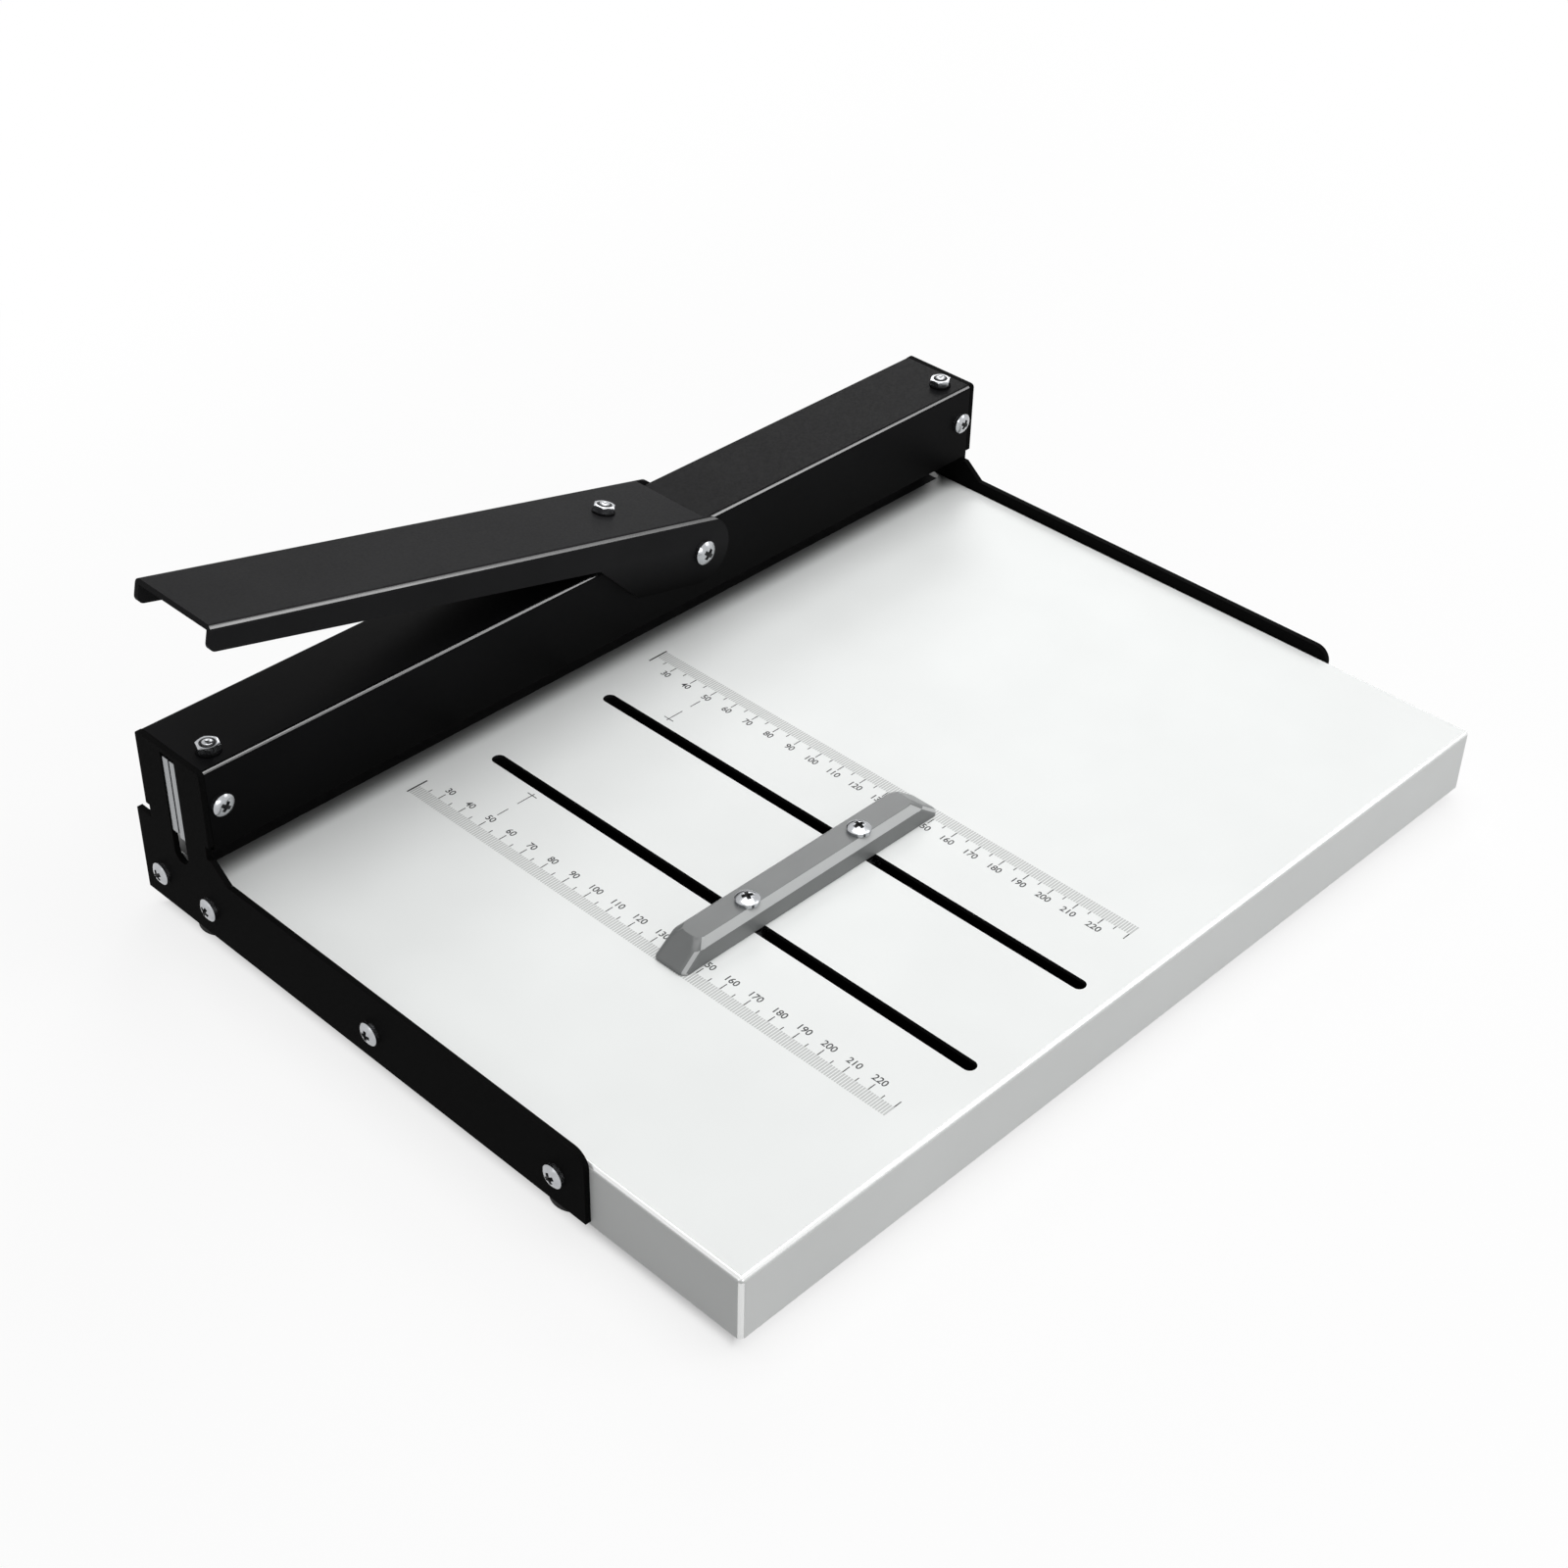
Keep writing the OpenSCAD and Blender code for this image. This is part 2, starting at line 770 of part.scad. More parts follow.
// Compression spring as one unbroken tube, with 8 rings of 6 sides to a curl
module coil_spring(mean_r, wire_r, low, high, curls) {
    per_curl = 8;
    sides = 6;
    rings = per_curl * curls;
    centres = [
        for (i = [0:rings])
            let (turn = 360 * i / per_curl)
                [mean_r * cos(turn), mean_r * sin(turn), low + (high - low) * i / rings]
    ];
    points = [
        for (i = [0:rings], k = [0:sides - 1])
            let (turn = 360 * i / per_curl, r = mean_r + wire_r * cos(360 * k / sides))
                [r * cos(turn), r * sin(turn), centres[i][2] + wire_r * sin(360 * k / sides)]
    ];
    walls = [
        for (i = [0:rings - 1], k = [0:sides - 1], half = [0, 1])
            let (a = i * sides + k, b = i * sides + (k + 1) % sides)
                half == 0 ? [a, b + sides, a + sides] : [a, b, b + sides]
    ];
    last = rings * sides;
    caps = [
        for (k = [1:sides - 2], end = [0, 1])
            end == 0 ? [0, k + 1, k] : [last, last + k, last + k + 1]
    ];
    least = min([for (i = [0:rings - per_curl]) norm(centres[i + per_curl] - centres[i])]) - 2 * wire_r;
    echo("least gap between spring curls", least);
    polyhedron(points, concat(walls, caps));
}

module return_spring(x) {
    color(spring_steel)
        at_crease()
            translate([x, -guide_front, 0])
                coil_spring(coil_r, wire_d / 2, spring_low, spring_high, spring_curls);
}

module return_spring_left() {
    return_spring(-guide_x);
}

module return_spring_right() {
    return_spring(guide_x);
}

// Side view of the lever: a tapering side, a sloped cheek and a round end about the pivot
module lever_outline() {
    free_low = lever_top - side_d;
    difference() {
        union() {
            polygon([
                [-lever_len, lever_top], [-lever_len, free_low], [-cheek_start, lever_top - side_root_d],
                [-cheek_full, -cheek_r], [0, -cheek_r], [0, lever_top]
            ]);
            circle(cheek_r);
        }
        translate([-lever_len, free_low])
            difference() {
                translate([-cut, -cut])
                    square(side_corner_r + cut);
                translate([side_corner_r, side_corner_r])
                    circle(side_corner_r);
            }
    }
}

module lever() {
    inner_half = lever_half - lever_t;
    deep = -cheek_r - cut;
    color(satin_black)
        at_lever()
            difference() {
                intersection() {
                    along_x(-lever_len, cheek_r + cut)
                        arch(-lever_half, lever_half, deep, lever_top, lever_fold_r);
                    along_y(-lever_half, lever_half)
                        lever_outline();
                }
                along_x(-lever_len - cut, cheek_r + 2 * cut)
                    arch(-inner_half, inner_half, deep - cut, lever_under, lever_fold_r - lever_t);
                translate([-lever_end, -inner_half, deep])
                    cube([lever_end + cheek_r + 2 * cut, 2 * inner_half, lever_top - deep + cut]);
                translate([0, lever_half + cut, 0])
                    rotate([90, 0, 0])
                        cylinder(r = pivot_r + run_clear, h = 2 * (lever_half + cut));
                translate([-press_arm, 0, lever_under - cut])
                    cylinder(r = stud_r + thread_clear, h = lever_t + 2 * cut);
            }
}

// Threaded stud through the lever, with a round tip that rolls on the press pad
module press_stud() {
    top = lever_top + washer_t + nut_h + press_tail;
    color(bright_zinc)
        at_lever()
            translate([-press_arm, 0, 0])
                union() {
                    translate([0, 0, tip_v])
                        sphere(r = tip_r);
                    translate([0, 0, tip_v])
                        cylinder(r = stud_r, h = top - tip_v);
                    translate([0, 0, lever_under - stud_collar_t])
                        cylinder(r = stud_collar_r, h = stud_collar_t);
                }
}

module press_stud_washer() {
    color(bright_zinc)
        at_lever()
            translate([-press_arm, 0, lever_top])
                ring(washer_r, stud_r + hole_clear, washer_t);
}

module press_stud_nut() {
    color(bright_zinc)
        at_lever()
            translate([-press_arm, 0, lever_top + washer_t])
                hex_nut(nut_af, nut_h, stud_r);
}

// Space that the press pad takes out of the clamp bars and the blade
module pad_space(margin) {
    translate([press_hole_x - pad_len / 2 - margin, -holder_half - margin, holder_top - pad_h])
        cube([pad_len + 2 * margin, holder_t + 2 * margin, pad_h + margin]);
}

// Flat bar that runs the whole beam and through both side plates
module clamp_bar(low_y, low_z, bore_r) {
    half = outer_half - free_gap;
    difference() {
        translate([-half, low_y, low_z])
            cube([2 * half, clamp_t, holder_top - low_z]);
        pad_space(rest_gap);
        for (x = clamp_screw_places)
            translate([x, low_y - cut, clamp_screw_z])
                rotate([-90, 0, 0])
                    cylinder(r = bore_r, h = clamp_t + 2 * cut);
    }
}

module blade_front_clamp() {
    color(ground_steel)
        at_crease()
            clamp_bar(-holder_half, clamp_low, m4_r + thread_clear);
}

module blade_rear_clamp() {
    color(ground_steel)
        at_crease()
            clamp_bar(holder_half - clamp_t, clamp_low + rear_clamp_short, m4_r + hole_clear);
}

// Thin blade with a rounded edge, held between the clamp bars
module creasing_blade() {
    half = die_half - free_gap;
    edge_r = blade_t / 2;
    color(ground_steel)
        at_crease()
            difference() {
                along_x(-half, half) {
                    translate([-edge_r, paper_gap + edge_r])
                        square([blade_t, holder_top - blade_top_in - paper_gap - edge_r]);
                    translate([0, paper_gap + edge_r])
                        circle(edge_r);
                }
                pad_space(rest_gap);
                for (x = clamp_screw_places)
                    translate([x, cut, clamp_screw_z])
                        rotate([90, 0, 0])
                            cylinder(r = m4_r + hole_clear, h = 2 * cut);
            }
}

module blade_clamp_screws() {
    color(bright_zinc)
        at_crease()
            for (x = clamp_screw_places)
                translate([x, holder_half, clamp_screw_z])
                    rotate([-90, 0, 0])
                        pan_screw(m4_head_r, m4_head_h, m4_r, holder_t);
}

module press_pad() {
    color(bright_zinc)
        at_crease()
            translate([press_hole_x - pad_len / 2, -holder_half, holder_top - pad_h])
                cube([pad_len, holder_t, pad_h]);
}

// Lugs on the front clamp bar, which ride on the guide studs
module spring_lugs() {
    reach = guide_front - holder_half + collar_r + free_gap / 2;
    color(ground_steel)
        both_guides()
            difference() {
                translate([-lug_w / 2, guide_front - holder_half - reach, lug_low])
                    cube([lug_w, reach, lug_t]);
                translate([0, 0, lug_low - cut])
                    cylinder(r = stud_r + free_gap, h = lug_t + 2 * cut);
            }
}

// Sliding paper stop with sloped ends and eased upper edges
module stop_bar() {
    half = stop_len / 2;
    color(stop_grey)
        at_crease()
            translate([-gauge_left, -stop_at, rest_gap])
                difference() {
                    intersection() {
                        along_x(-half, half)
                            polygon([
                                [0, 0], [-stop_w, 0], [stop_lean - stop_w, stop_h - stop_front_drop],
                                [stop_lean + stop_front_run - stop_w, stop_h], [-stop_rear_cut, stop_h],
                                [0, stop_h - stop_rear_cut]
                            ]);
                        along_y(-stop_w, 0)
                            polygon([
                                [-half, 0], [-half, stop_end_h], [stop_slope - half, stop_h],
                                [half - stop_slope, stop_h], [half, stop_end_h], [half, 0]
                            ]);
                    }
                    for (x = [-slot_pitch / 2, slot_pitch / 2])
                        translate([x, -stop_screw_in, -cut])
                            cylinder(r = m4_r + hole_clear, h = stop_h + 2 * cut);
                }
}

module both_stop_screws() {
    at_crease()
        for (x = slot_places)
            translate([x, stop_screw_y, 0])
                children();
}

module stop_screws() {
    seat = rest_gap + stop_h;
    color(bright_zinc)
        both_stop_screws()
            translate([0, 0, seat])
                pan_screw(stop_head_r, m4_head_h, m4_r, seat - slide_top + slide_washer_t + slide_nut_t);
}

module stop_slide_washers() {
    color(nylon_white)
        both_stop_screws()
            translate([0, 0, slide_top - slide_washer_t])
                ring(slide_washer_r, m4_r + hole_clear, slide_washer_t);
}

module stop_slide_nuts() {
    color(bright_zinc)
        both_stop_screws()
            translate([0, 0, slide_top - slide_washer_t - slide_nut_t])
                difference() {
                    translate([-slide_nut_w / 2, -slide_nut_l / 2, 0])
                        cube([slide_nut_w, slide_nut_l, slide_nut_t]);
                    translate([0, 0, -cut])
                        cylinder(r = m4_r + thread_clear, h = slide_nut_t + 2 * cut);
                }
}

table_top();
left_side_plate();
right_side_plate();
side_plate_screws();
side_plate_nuts();
rubber_feet();
foot_screws();
foot_nuts();
die_bed();
creasing_die();
die_screws();
beam_cover();
cover_screws();
pivot_screws();
pivot_bosses();
pivot_washers();
guide_studs();
guide_nuts();
guide_washers();
spring_seat_nuts();
return_spring_left();
return_spring_right();
lever();
press_stud();
press_stud_nut();
press_stud_washer();
blade_front_clamp();
blade_rear_clamp();
creasing_blade();
blade_clamp_screws();
press_pad();
spring_lugs();
stop_bar();
stop_screws();
stop_slide_washers();
stop_slide_nuts();
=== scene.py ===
import json
from math import cos, pi, radians, sin, sqrt, tan

import bmesh
import bpy
from mathutils import Matrix, Quaternion, Vector


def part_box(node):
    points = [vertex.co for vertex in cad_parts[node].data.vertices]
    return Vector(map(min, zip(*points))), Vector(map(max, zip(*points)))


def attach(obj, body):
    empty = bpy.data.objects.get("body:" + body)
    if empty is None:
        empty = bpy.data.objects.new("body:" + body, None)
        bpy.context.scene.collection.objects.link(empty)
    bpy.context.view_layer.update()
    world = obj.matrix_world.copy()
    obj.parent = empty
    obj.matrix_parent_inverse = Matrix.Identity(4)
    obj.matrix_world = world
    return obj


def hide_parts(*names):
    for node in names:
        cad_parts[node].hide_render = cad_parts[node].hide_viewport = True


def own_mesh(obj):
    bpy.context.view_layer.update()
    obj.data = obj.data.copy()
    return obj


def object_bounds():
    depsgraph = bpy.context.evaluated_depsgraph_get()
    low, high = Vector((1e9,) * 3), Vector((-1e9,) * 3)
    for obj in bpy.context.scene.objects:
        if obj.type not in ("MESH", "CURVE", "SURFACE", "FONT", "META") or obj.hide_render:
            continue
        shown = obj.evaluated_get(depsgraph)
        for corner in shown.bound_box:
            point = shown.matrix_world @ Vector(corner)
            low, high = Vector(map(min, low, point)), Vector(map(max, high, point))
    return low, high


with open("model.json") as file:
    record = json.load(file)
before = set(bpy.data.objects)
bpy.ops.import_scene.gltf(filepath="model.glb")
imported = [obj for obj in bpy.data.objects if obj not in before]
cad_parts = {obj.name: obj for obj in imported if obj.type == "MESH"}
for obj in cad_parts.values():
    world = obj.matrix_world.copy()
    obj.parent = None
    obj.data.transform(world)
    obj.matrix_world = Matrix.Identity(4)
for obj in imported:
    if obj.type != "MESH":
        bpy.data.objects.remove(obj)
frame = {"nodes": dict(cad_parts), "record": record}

cad_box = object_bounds()

# Pieces are modelled in millimetres in the crease frame: y = 0 on the crease line, z = 0 on the table top
MM = 0.001
die_low, die_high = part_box("creasing_die")
CREASE = Vector((0, (die_low.y + die_high.y) / 2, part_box("table_top")[1].z))
CREASE_PLACE = Matrix.Translation(CREASE) @ Matrix.Scale(MM, 4)


def span(node):
    """A node's lowest and highest corner in the crease frame, in millimetres."""
    return [(corner - CREASE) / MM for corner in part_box(node)]


# Telling edges and faces apart: nearness in millimetres, and shares of a line or a normal along an axis
NEAR = 1
ALONG = 0.999
SIDEWAYS = 0.1
FOLD_AIM = 0.5
TABLE_FOLD_AIM = 0.35
TABLE_FOLD_UP = 0.55
INSIDE_UP = 0.3
HIGHLIGHT_FRONT = 0.4
HIGHLIGHT_ACROSS = (0.35, 0.9)
HIGHLIGHT_UP = 0.6
LEVEL_AIM = 0.9

# Modelling: reach of a tool past what it cuts or joins, widths of broken edges, and steps in a round
OVERLAP = 1
WELD_DISTANCE = 0.001
SHARP_ANGLE = radians(32)
SHEET_EDGE = 0.25
LEVER_EDGE = 0.3
BAR_EDGE = 0.35
FASTENER_EDGE = 0.12
WASHER_EDGE = 0.15
FOOT_EDGE = 0.15
FOLD_STEPS = 6
BEND_STEPS = 2
SLOT_STEPS = 8
# A slot's round end takes just under half of its width, so that its two corners don't meet
SLOT_END = 0.49

# Table
table_low, table_high = span("table_top")
SHEET_T = 1.5
TABLE_FOLD_R = 1.7
BEND_R = 0.2
LIP_W = 22
LIP_RELIEF = 5.5
DIE_ROOM = 0.2
# Painted shade along the crease line: where it starts to fade and where it ends, in millimetres from the
# crease, and how dark it is
CREASE_SHADE_START = 3
CREASE_SHADE_END = 17.5
CREASE_SHADE_COVER = 0.99
# Shares of the sheet's thickness past which a face counts as inside a skirt, or as below the top
INSIDE_WALL = 0.9
BELOW_TOP = 0.2

# Beam cover
cover_low, cover_high = span("beam_cover")
COVER_T = 1.5
COVER_FOLD_R = 1.7
STUD_HOLE_ARM = 32
STUD_HOLE_R = 5
STUD_HOLE_REACH = 5

# Side plates
plate_low, plate_high = span("left_side_plate")
PLATE_T = 2
RAIL_H = 4
RAIL_CORNER_R = 5.5
TOWER_CORNER_R = 0.8 * COVER_FOLD_R
TOWER_CORNER_STEPS = 4
SHOULDER_W = 7.5
SHOULDER_RISE = 6
RELIEF_H = 5
RELIEF_D = 1.8
PLATE_SLOT_W = 7.1
PLATE_SLOT_LOW = -0.07
TAB_T = 2
TAB_ROOM = 1

# Lever, in its own frame: pivot at the origin, free end towards -x, level when it is flat
LEVER_OPEN = radians(13.46)
LEVER_LEN = 208
LEVER_T = 2
LEVER_FOLD_R = 2.2
LEVER_HALF = 19
LEVER_TOP = 12.5
LEVER_PLATE_END = 1.24
SIDE_D = 8.6
SIDE_ROOT_D = 11.4
SIDE_CORNER_R = 2.5
CHEEK_START = 49.5
CHEEK_FULL = 29
CHEEK_LAP = 5
CHEEK_BACK = 0.5
CHEEK_END_SIDES = 96
LEVER_SHADE_END = 2
PRESS_ARM = 33
pivot_low, pivot_high = span("pivot_screws")
PIVOT = Vector(((pivot_low.x + pivot_high.x) / 2, 0, (pivot_low.z + pivot_high.z) / 2))
LEVER_PLACE = CREASE_PLACE @ Matrix.Translation(PIVOT) @ Matrix.Rotation(LEVER_OPEN, 4, "Y")

# Screws
M4_R = 2
PLATE_HEAD_R = 3.9
PLATE_HEAD_H = 2.6
PLATE_SHANK = 7.5
PLATE_SCREW_DROP = 11
PLATE_SCREW_PLACES = (12.7, -12.7, -92.7, -174.3)
COVER_SHANK = 3.5
COVER_SCREW_X = 171.2
COVER_SCREW_H = 29
PIVOT_HEAD_R = 4.4
PIVOT_HEAD_H = 3
PIVOT_R = 3
PIVOT_SHANK = 8.6
PIVOT_HEAD_ROOM = 0.1
STOP_HEAD_R = 4
STOP_HEAD_H = 2.4
STOP_SHANK = 14.5
STOP_SCREW_IN = 8
DOME_STEPS = 8
RECESS_SHADE_DEPTH = 0.1

# Head and cross recess of a screw, as shares of the head's radius and height
HEAD_RIM = 0.5
RECESS_REACH = 0.6
RECESS_HALF_W = 0.19
RECESS_FLOOR = 0.35
RECESS_TOP = 1.2
RECESS_TAPER = (0.45, 0.7, 1)
RECESS_SHADE_REACH = 0.63

# Studs, nuts and washers
STUD_R = 2
STUD_SIDES = 36
STUD_CHAMFER = 0.5
STUD_END_H = 1
STUD_TIP_STEPS = 6
THREAD_PITCH = 0.7
THREAD_DEPTH = 0.4 * THREAD_PITCH
THREAD_ROOT = 0.5 * THREAD_PITCH
THREAD_CREST = 0.9 * THREAD_PITCH
# Domed end of a stud, as (in from the thread, below the top), and its dimple, as (radius, below the top)
STUD_DOME = ((0, 0.7), (0.25, 0.25), (0.6, 0.05))
STUD_DIMPLE = ((0.85, 0), (0.6, 0.2), (0, 0.6))
STUD_BRIGHT_FROM = 0.7
STUD_BRIGHT_TO = 1.6
NUT_AF = 7
NUT_H = 2.4
NUT_FACE = 0.96
NUT_CHAMFER = radians(30)
NUT_MOUTH = 0.7
NUT_ROOM = 0.05
NUT_SIDES = 72
WASHER_R = 4.1
WASHER_T = 0.5
WASHER_ROOM = 0.2
COLLAR_R = 4.2
COLLAR_H = 3.2
PRESS_COLLAR_R = 5
PRESS_COLLAR_T = 1.3
GUIDE_X = 168
GUIDE_Y = -8

# Turn of each screw head and nut about its own axis in radians, as tightening left it
PLATE_SCREW_TURNS = (-1, -0.5, 0, 0.5, 1, 1.5, 2, 2.5)
COVER_SCREW_TURNS = (-0.656, 1.056, 0.144, 1.856)
PIVOT_SCREW_TURNS = (-0.7, 1.3)
STOP_SCREW_TURNS = (2.685, 1.435)
GUIDE_NUT_TURNS = (0.686, 0.014)
PRESS_NUT_TURN = 0.2

# Return springs
COIL_R = 2.7
WIRE_R = 0.4
WIRE_SIDES = 12
OPEN_CURLS = 5
CLOSED_PITCH = 0.9
CURL_STEPS = 24

# Feet
FOOT_R = 8.4
FOOT_H = 5
FOOT_TAPER = 0.3
FOOT_BORE_R = 4.1
FOOT_SEAT_H = 2.5
FOOT_SCREW_ROOM = 0.2
SOLE_ROUND = 0.5
SOLE_ROUND_MID = 0.15

# Stop and gauge
stop_low, stop_high = span("stop_bar")
STOP_LEAN = 0.6
STOP_FRONT_RUN = 2.4
STOP_FRONT_DROP = 2.2
STOP_REAR_CUT = 1.8
STOP_END_H = 1.2
STOP_SLOPE = 9
STOP_CORNER_R = 2.6
STOP_CORNER_MIN = 0.5
STOP_EDGE_STEPS = 3
GAUGE_X = (-71.4, -21.4)
GAUGE_SLOT_W = 4.8
GAUGE_SLOT_REAR = -25
GAUGE_SLOT_FRONT = -236

# Printed rulers
LEFT_RULER_X = -104.1
LEFT_NUMBER_X = -95.5
RIGHT_RULER_X = 12.25
RIGHT_NUMBER_X = 1.4
RULER_FROM = 20
RULER_TO = 230
MM_MARK = 4.6
FIVE_MARK = 6.2
TEN_MARK = 7.6
FIRST_MARK = 7.9
MM_LINE_W = 0.62
LINE_W = 0.34
FIRST_LINE_W = 0.6
BAND_START = 0.5
BAND_ROOM = 0.1
NUMBER_FROM = 30
NUMBER_TO = 220
NUMBER_STEP = 10
NUMBER_H = 2.5
NUMBER_H_SHARE = 0.7
NUMBER_SWELL = 0.05
INDEX_AT = 50
INDEX_IN = 12.4
INDEX_DASHES = ((0.3, 4.6), (8.8, 15.9))
INDEX_CROSS = 15
INDEX_CROSS_HALF = 2
INK_T = 0.02

# Studio: the floor's shade and white by distance from the middle, 1 being the edge of the part's footprint
FLOOR_SIZE = 8
SHADE_FROM = 0.92
SHADE_TO = 0.97
WHITE_FROM = 0.93
WHITE_TO = 0.985
WHITE_SHARE = 0.8
FAR_FROM = 1.4
FAR_TO = 4
FAR_SHARE = 0.2
WORLD_LIGHT = 0.09
LAMP_AIM = Vector((0, 0, 0.03))

# The photograph's camera, from a fit to the machine's edges and its printed millimetres
CAMERA_PLACE = Vector((-501.18, -562.99, 506.57))
CAMERA_FORWARD = Vector((0.58041, 0.54747, -0.60283))
CAMERA_ROLL = radians(1.458)
CAMERA_LENS = 58.677
CAMERA_SENSOR_W = 36
CAMERA_NEAR = 0.01


def only(piece):
    """Leaves one piece selected and active, in object mode."""
    if bpy.context.object and bpy.context.object.mode != "OBJECT":
        bpy.ops.object.mode_set(mode="OBJECT")
    bpy.ops.object.select_all(action="DESELECT")
    piece.select_set(True)
    bpy.context.view_layer.objects.active = piece


def applied(name):
    """Names the new primitive and puts its place into its mesh."""
    piece = bpy.context.object
    piece.name = name
    bpy.ops.object.transform_apply(location=True, rotation=True, scale=True)
    return piece


def block(name, corner, opposite):
    """A block between two opposite corners."""
    low = Vector(map(min, corner, opposite))
    high = Vector(map(max, corner, opposite))
    bpy.ops.mesh.primitive_cube_add(size=1, location=(low + high) / 2, scale=high - low)
    return applied(name)


def rod(name, radius, start, end, sides=48):
    """A round bar from one point to another."""
    start, end = Vector(start), Vector(end)
    turn = (end - start).to_track_quat("Z", "Y").to_euler()
    bpy.ops.mesh.primitive_cylinder_add(
        vertices=sides, radius=radius, depth=(end - start).length, location=(start + end) / 2, rotation=turn)
    return applied(name)


def choose(piece, kind, test):
    """Goes into edit mode with only those edges or faces selected that pass the test."""
    only(piece)
    bpy.ops.object.mode_set(mode="EDIT")
    bpy.ops.mesh.select_mode(type=kind)
    bpy.ops.mesh.select_all(action="DESELECT")
    mesh = bmesh.from_edit_mesh(piece.data)
    for item in list(mesh.edges if kind == "EDGE" else mesh.faces):
        item.select_set(test(item))
    bmesh.update_edit_mesh(piece.data)


def middle(edge):
    return (edge.verts[0].co + edge.verts[1].co) / 2


def runs_along(edge, axis):
    """True where an edge runs along x, y or z, given as 0, 1 or 2."""
    line = edge.verts[1].co - edge.verts[0].co
    return abs(line[axis]) > ALONG * line.length


def round_edges(piece, radius, steps, test):
    choose(piece, "EDGE", test)
    bpy.ops.mesh.bevel(offset=radius, segments=steps, affect="EDGES")
    bpy.ops.object.mode_set(mode="OBJECT")


def slice_off(piece, point, outward):
    """Cuts away what lies beyond a plane and closes the cut."""
    choose(piece, "FACE", lambda face: True)
    bpy.ops.mesh.bisect(
        plane_co=point, plane_no=Vector(outward).normalized(), use_fill=True, clear_outer=True)
    bpy.ops.mesh.select_all(action="SELECT")
    bpy.ops.mesh.normals_make_consistent(inside=False)
    bpy.ops.object.mode_set(mode="OBJECT")


def modify(piece, kind, **settings):
    """Adds a modifier with its settings and applies it."""
    only(piece)
    modifier = piece.modifiers.new(kind.lower(), kind)
    for name, value in settings.items():
        setattr(modifier, name, value)
    bpy.ops.object.modifier_apply(modifier=modifier.name)


def carve(piece, tool, operation="DIFFERENCE"):
    """Cuts the tool out of the piece, or welds it on, and throws the tool away."""
    modify(piece, "BOOLEAN", object=tool, operation=operation, solver="EXACT")
    bpy.data.objects.remove(tool, do_unlink=True)


def ease(piece, width, steps=2):
    """Breaks every sharp edge."""
    modify(piece, "BEVEL", width=width, segments=steps, limit_method="ANGLE", angle_limit=SHARP_ANGLE)


def lathe(name, profile, steps=48):
    """Turns a profile of (radius, height) points about the z axis."""
    bpy.ops.mesh.primitive_plane_add(size=1)
    piece = applied(name)
    bpy.ops.object.mode_set(mode="EDIT")
    bpy.ops.mesh.select_mode(type="VERT")
    bpy.ops.mesh.select_all(action="SELECT")
    bpy.ops.mesh.merge(type="CENTER")
    bpy.ops.transform.translate(value=(profile[0][0], 0, profile[0][1]))
    for (from_r, from_z), (to_r, to_z) in zip(profile, profile[1:]):
        step = (to_r - from_r, 0, to_z - from_z)
        bpy.ops.mesh.extrude_vertices_move(TRANSFORM_OT_translate={"value": step})
    bpy.ops.mesh.select_all(action="SELECT")
    bpy.ops.mesh.spin(steps=steps, angle=2 * pi, center=(0, 0, 0), axis=(0, 0, 1))
    bpy.ops.mesh.select_all(action="SELECT")
    bpy.ops.mesh.remove_doubles(threshold=WELD_DISTANCE)
    bpy.ops.mesh.normals_make_consistent(inside=False)
    bpy.ops.object.mode_set(mode="OBJECT")
    return piece


def copy_of(piece, name, place):
    """A copy with its own mesh, moved within the crease frame."""
    made = bpy.data.objects.new(name, piece.data.copy())
    bpy.context.scene.collection.objects.link(made)
    made.data.transform(place)
    return made


def seat(piece, finish, body, node=None, place=CREASE_PLACE):
    """Sets a modelled piece into the frame with its finish and its body, and hides the node that it stands
    for.
    """
    piece.data.transform(place)
    only(piece)
    bpy.ops.object.shade_smooth_by_angle(angle=SHARP_ANGLE)
    modify(piece, "WEIGHTED_NORMAL", keep_sharp=True)
    if not piece.data.materials:
        piece.data.materials.append(finish)
    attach(piece, body)
    if node:
        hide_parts(node)
    return piece


# Materials
def hex_colour(text):
    """An sRGB hex colour as linear RGBA."""
    shares = [int(text[i:i + 2], 16) / 255 for i in (1, 3, 5)]
    linear = [c / 12.92 if c <= 0.04045 else ((c + 0.055) / 1.055) ** 2.4 for c in shares]
    return (*linear, 1)


def add(tree, kind, values=None, links=None, **settings):
    """Adds one node with its settings, socket values and links."""
    made = tree.nodes.new(kind)
    for name, value in settings.items():
        setattr(made, name, value)
    for socket, value in (values or {}).items():
        made.inputs[socket].default_value = value
    for socket, source in (links or {}).items():
        tree.links.new(source, made.inputs[socket])
    return made


def new_finish(name):
    """An empty material, with the piece's own coordinates as its start."""
    made = bpy.data.materials.new(name)
    made.use_nodes = True
    tree = made.node_tree
    tree.nodes.clear()
    start = add(tree, "ShaderNodeTexCoord").outputs["Object"]
    return made, tree, start


def per_metre(size_mm):
    """The texture scale that gives features of a real size."""
    return 1 / (size_mm * MM)


# Most values of a noise texture lie in this range
NOISE_RANGE = {"From Min": 0.3, "From Max": 0.7}


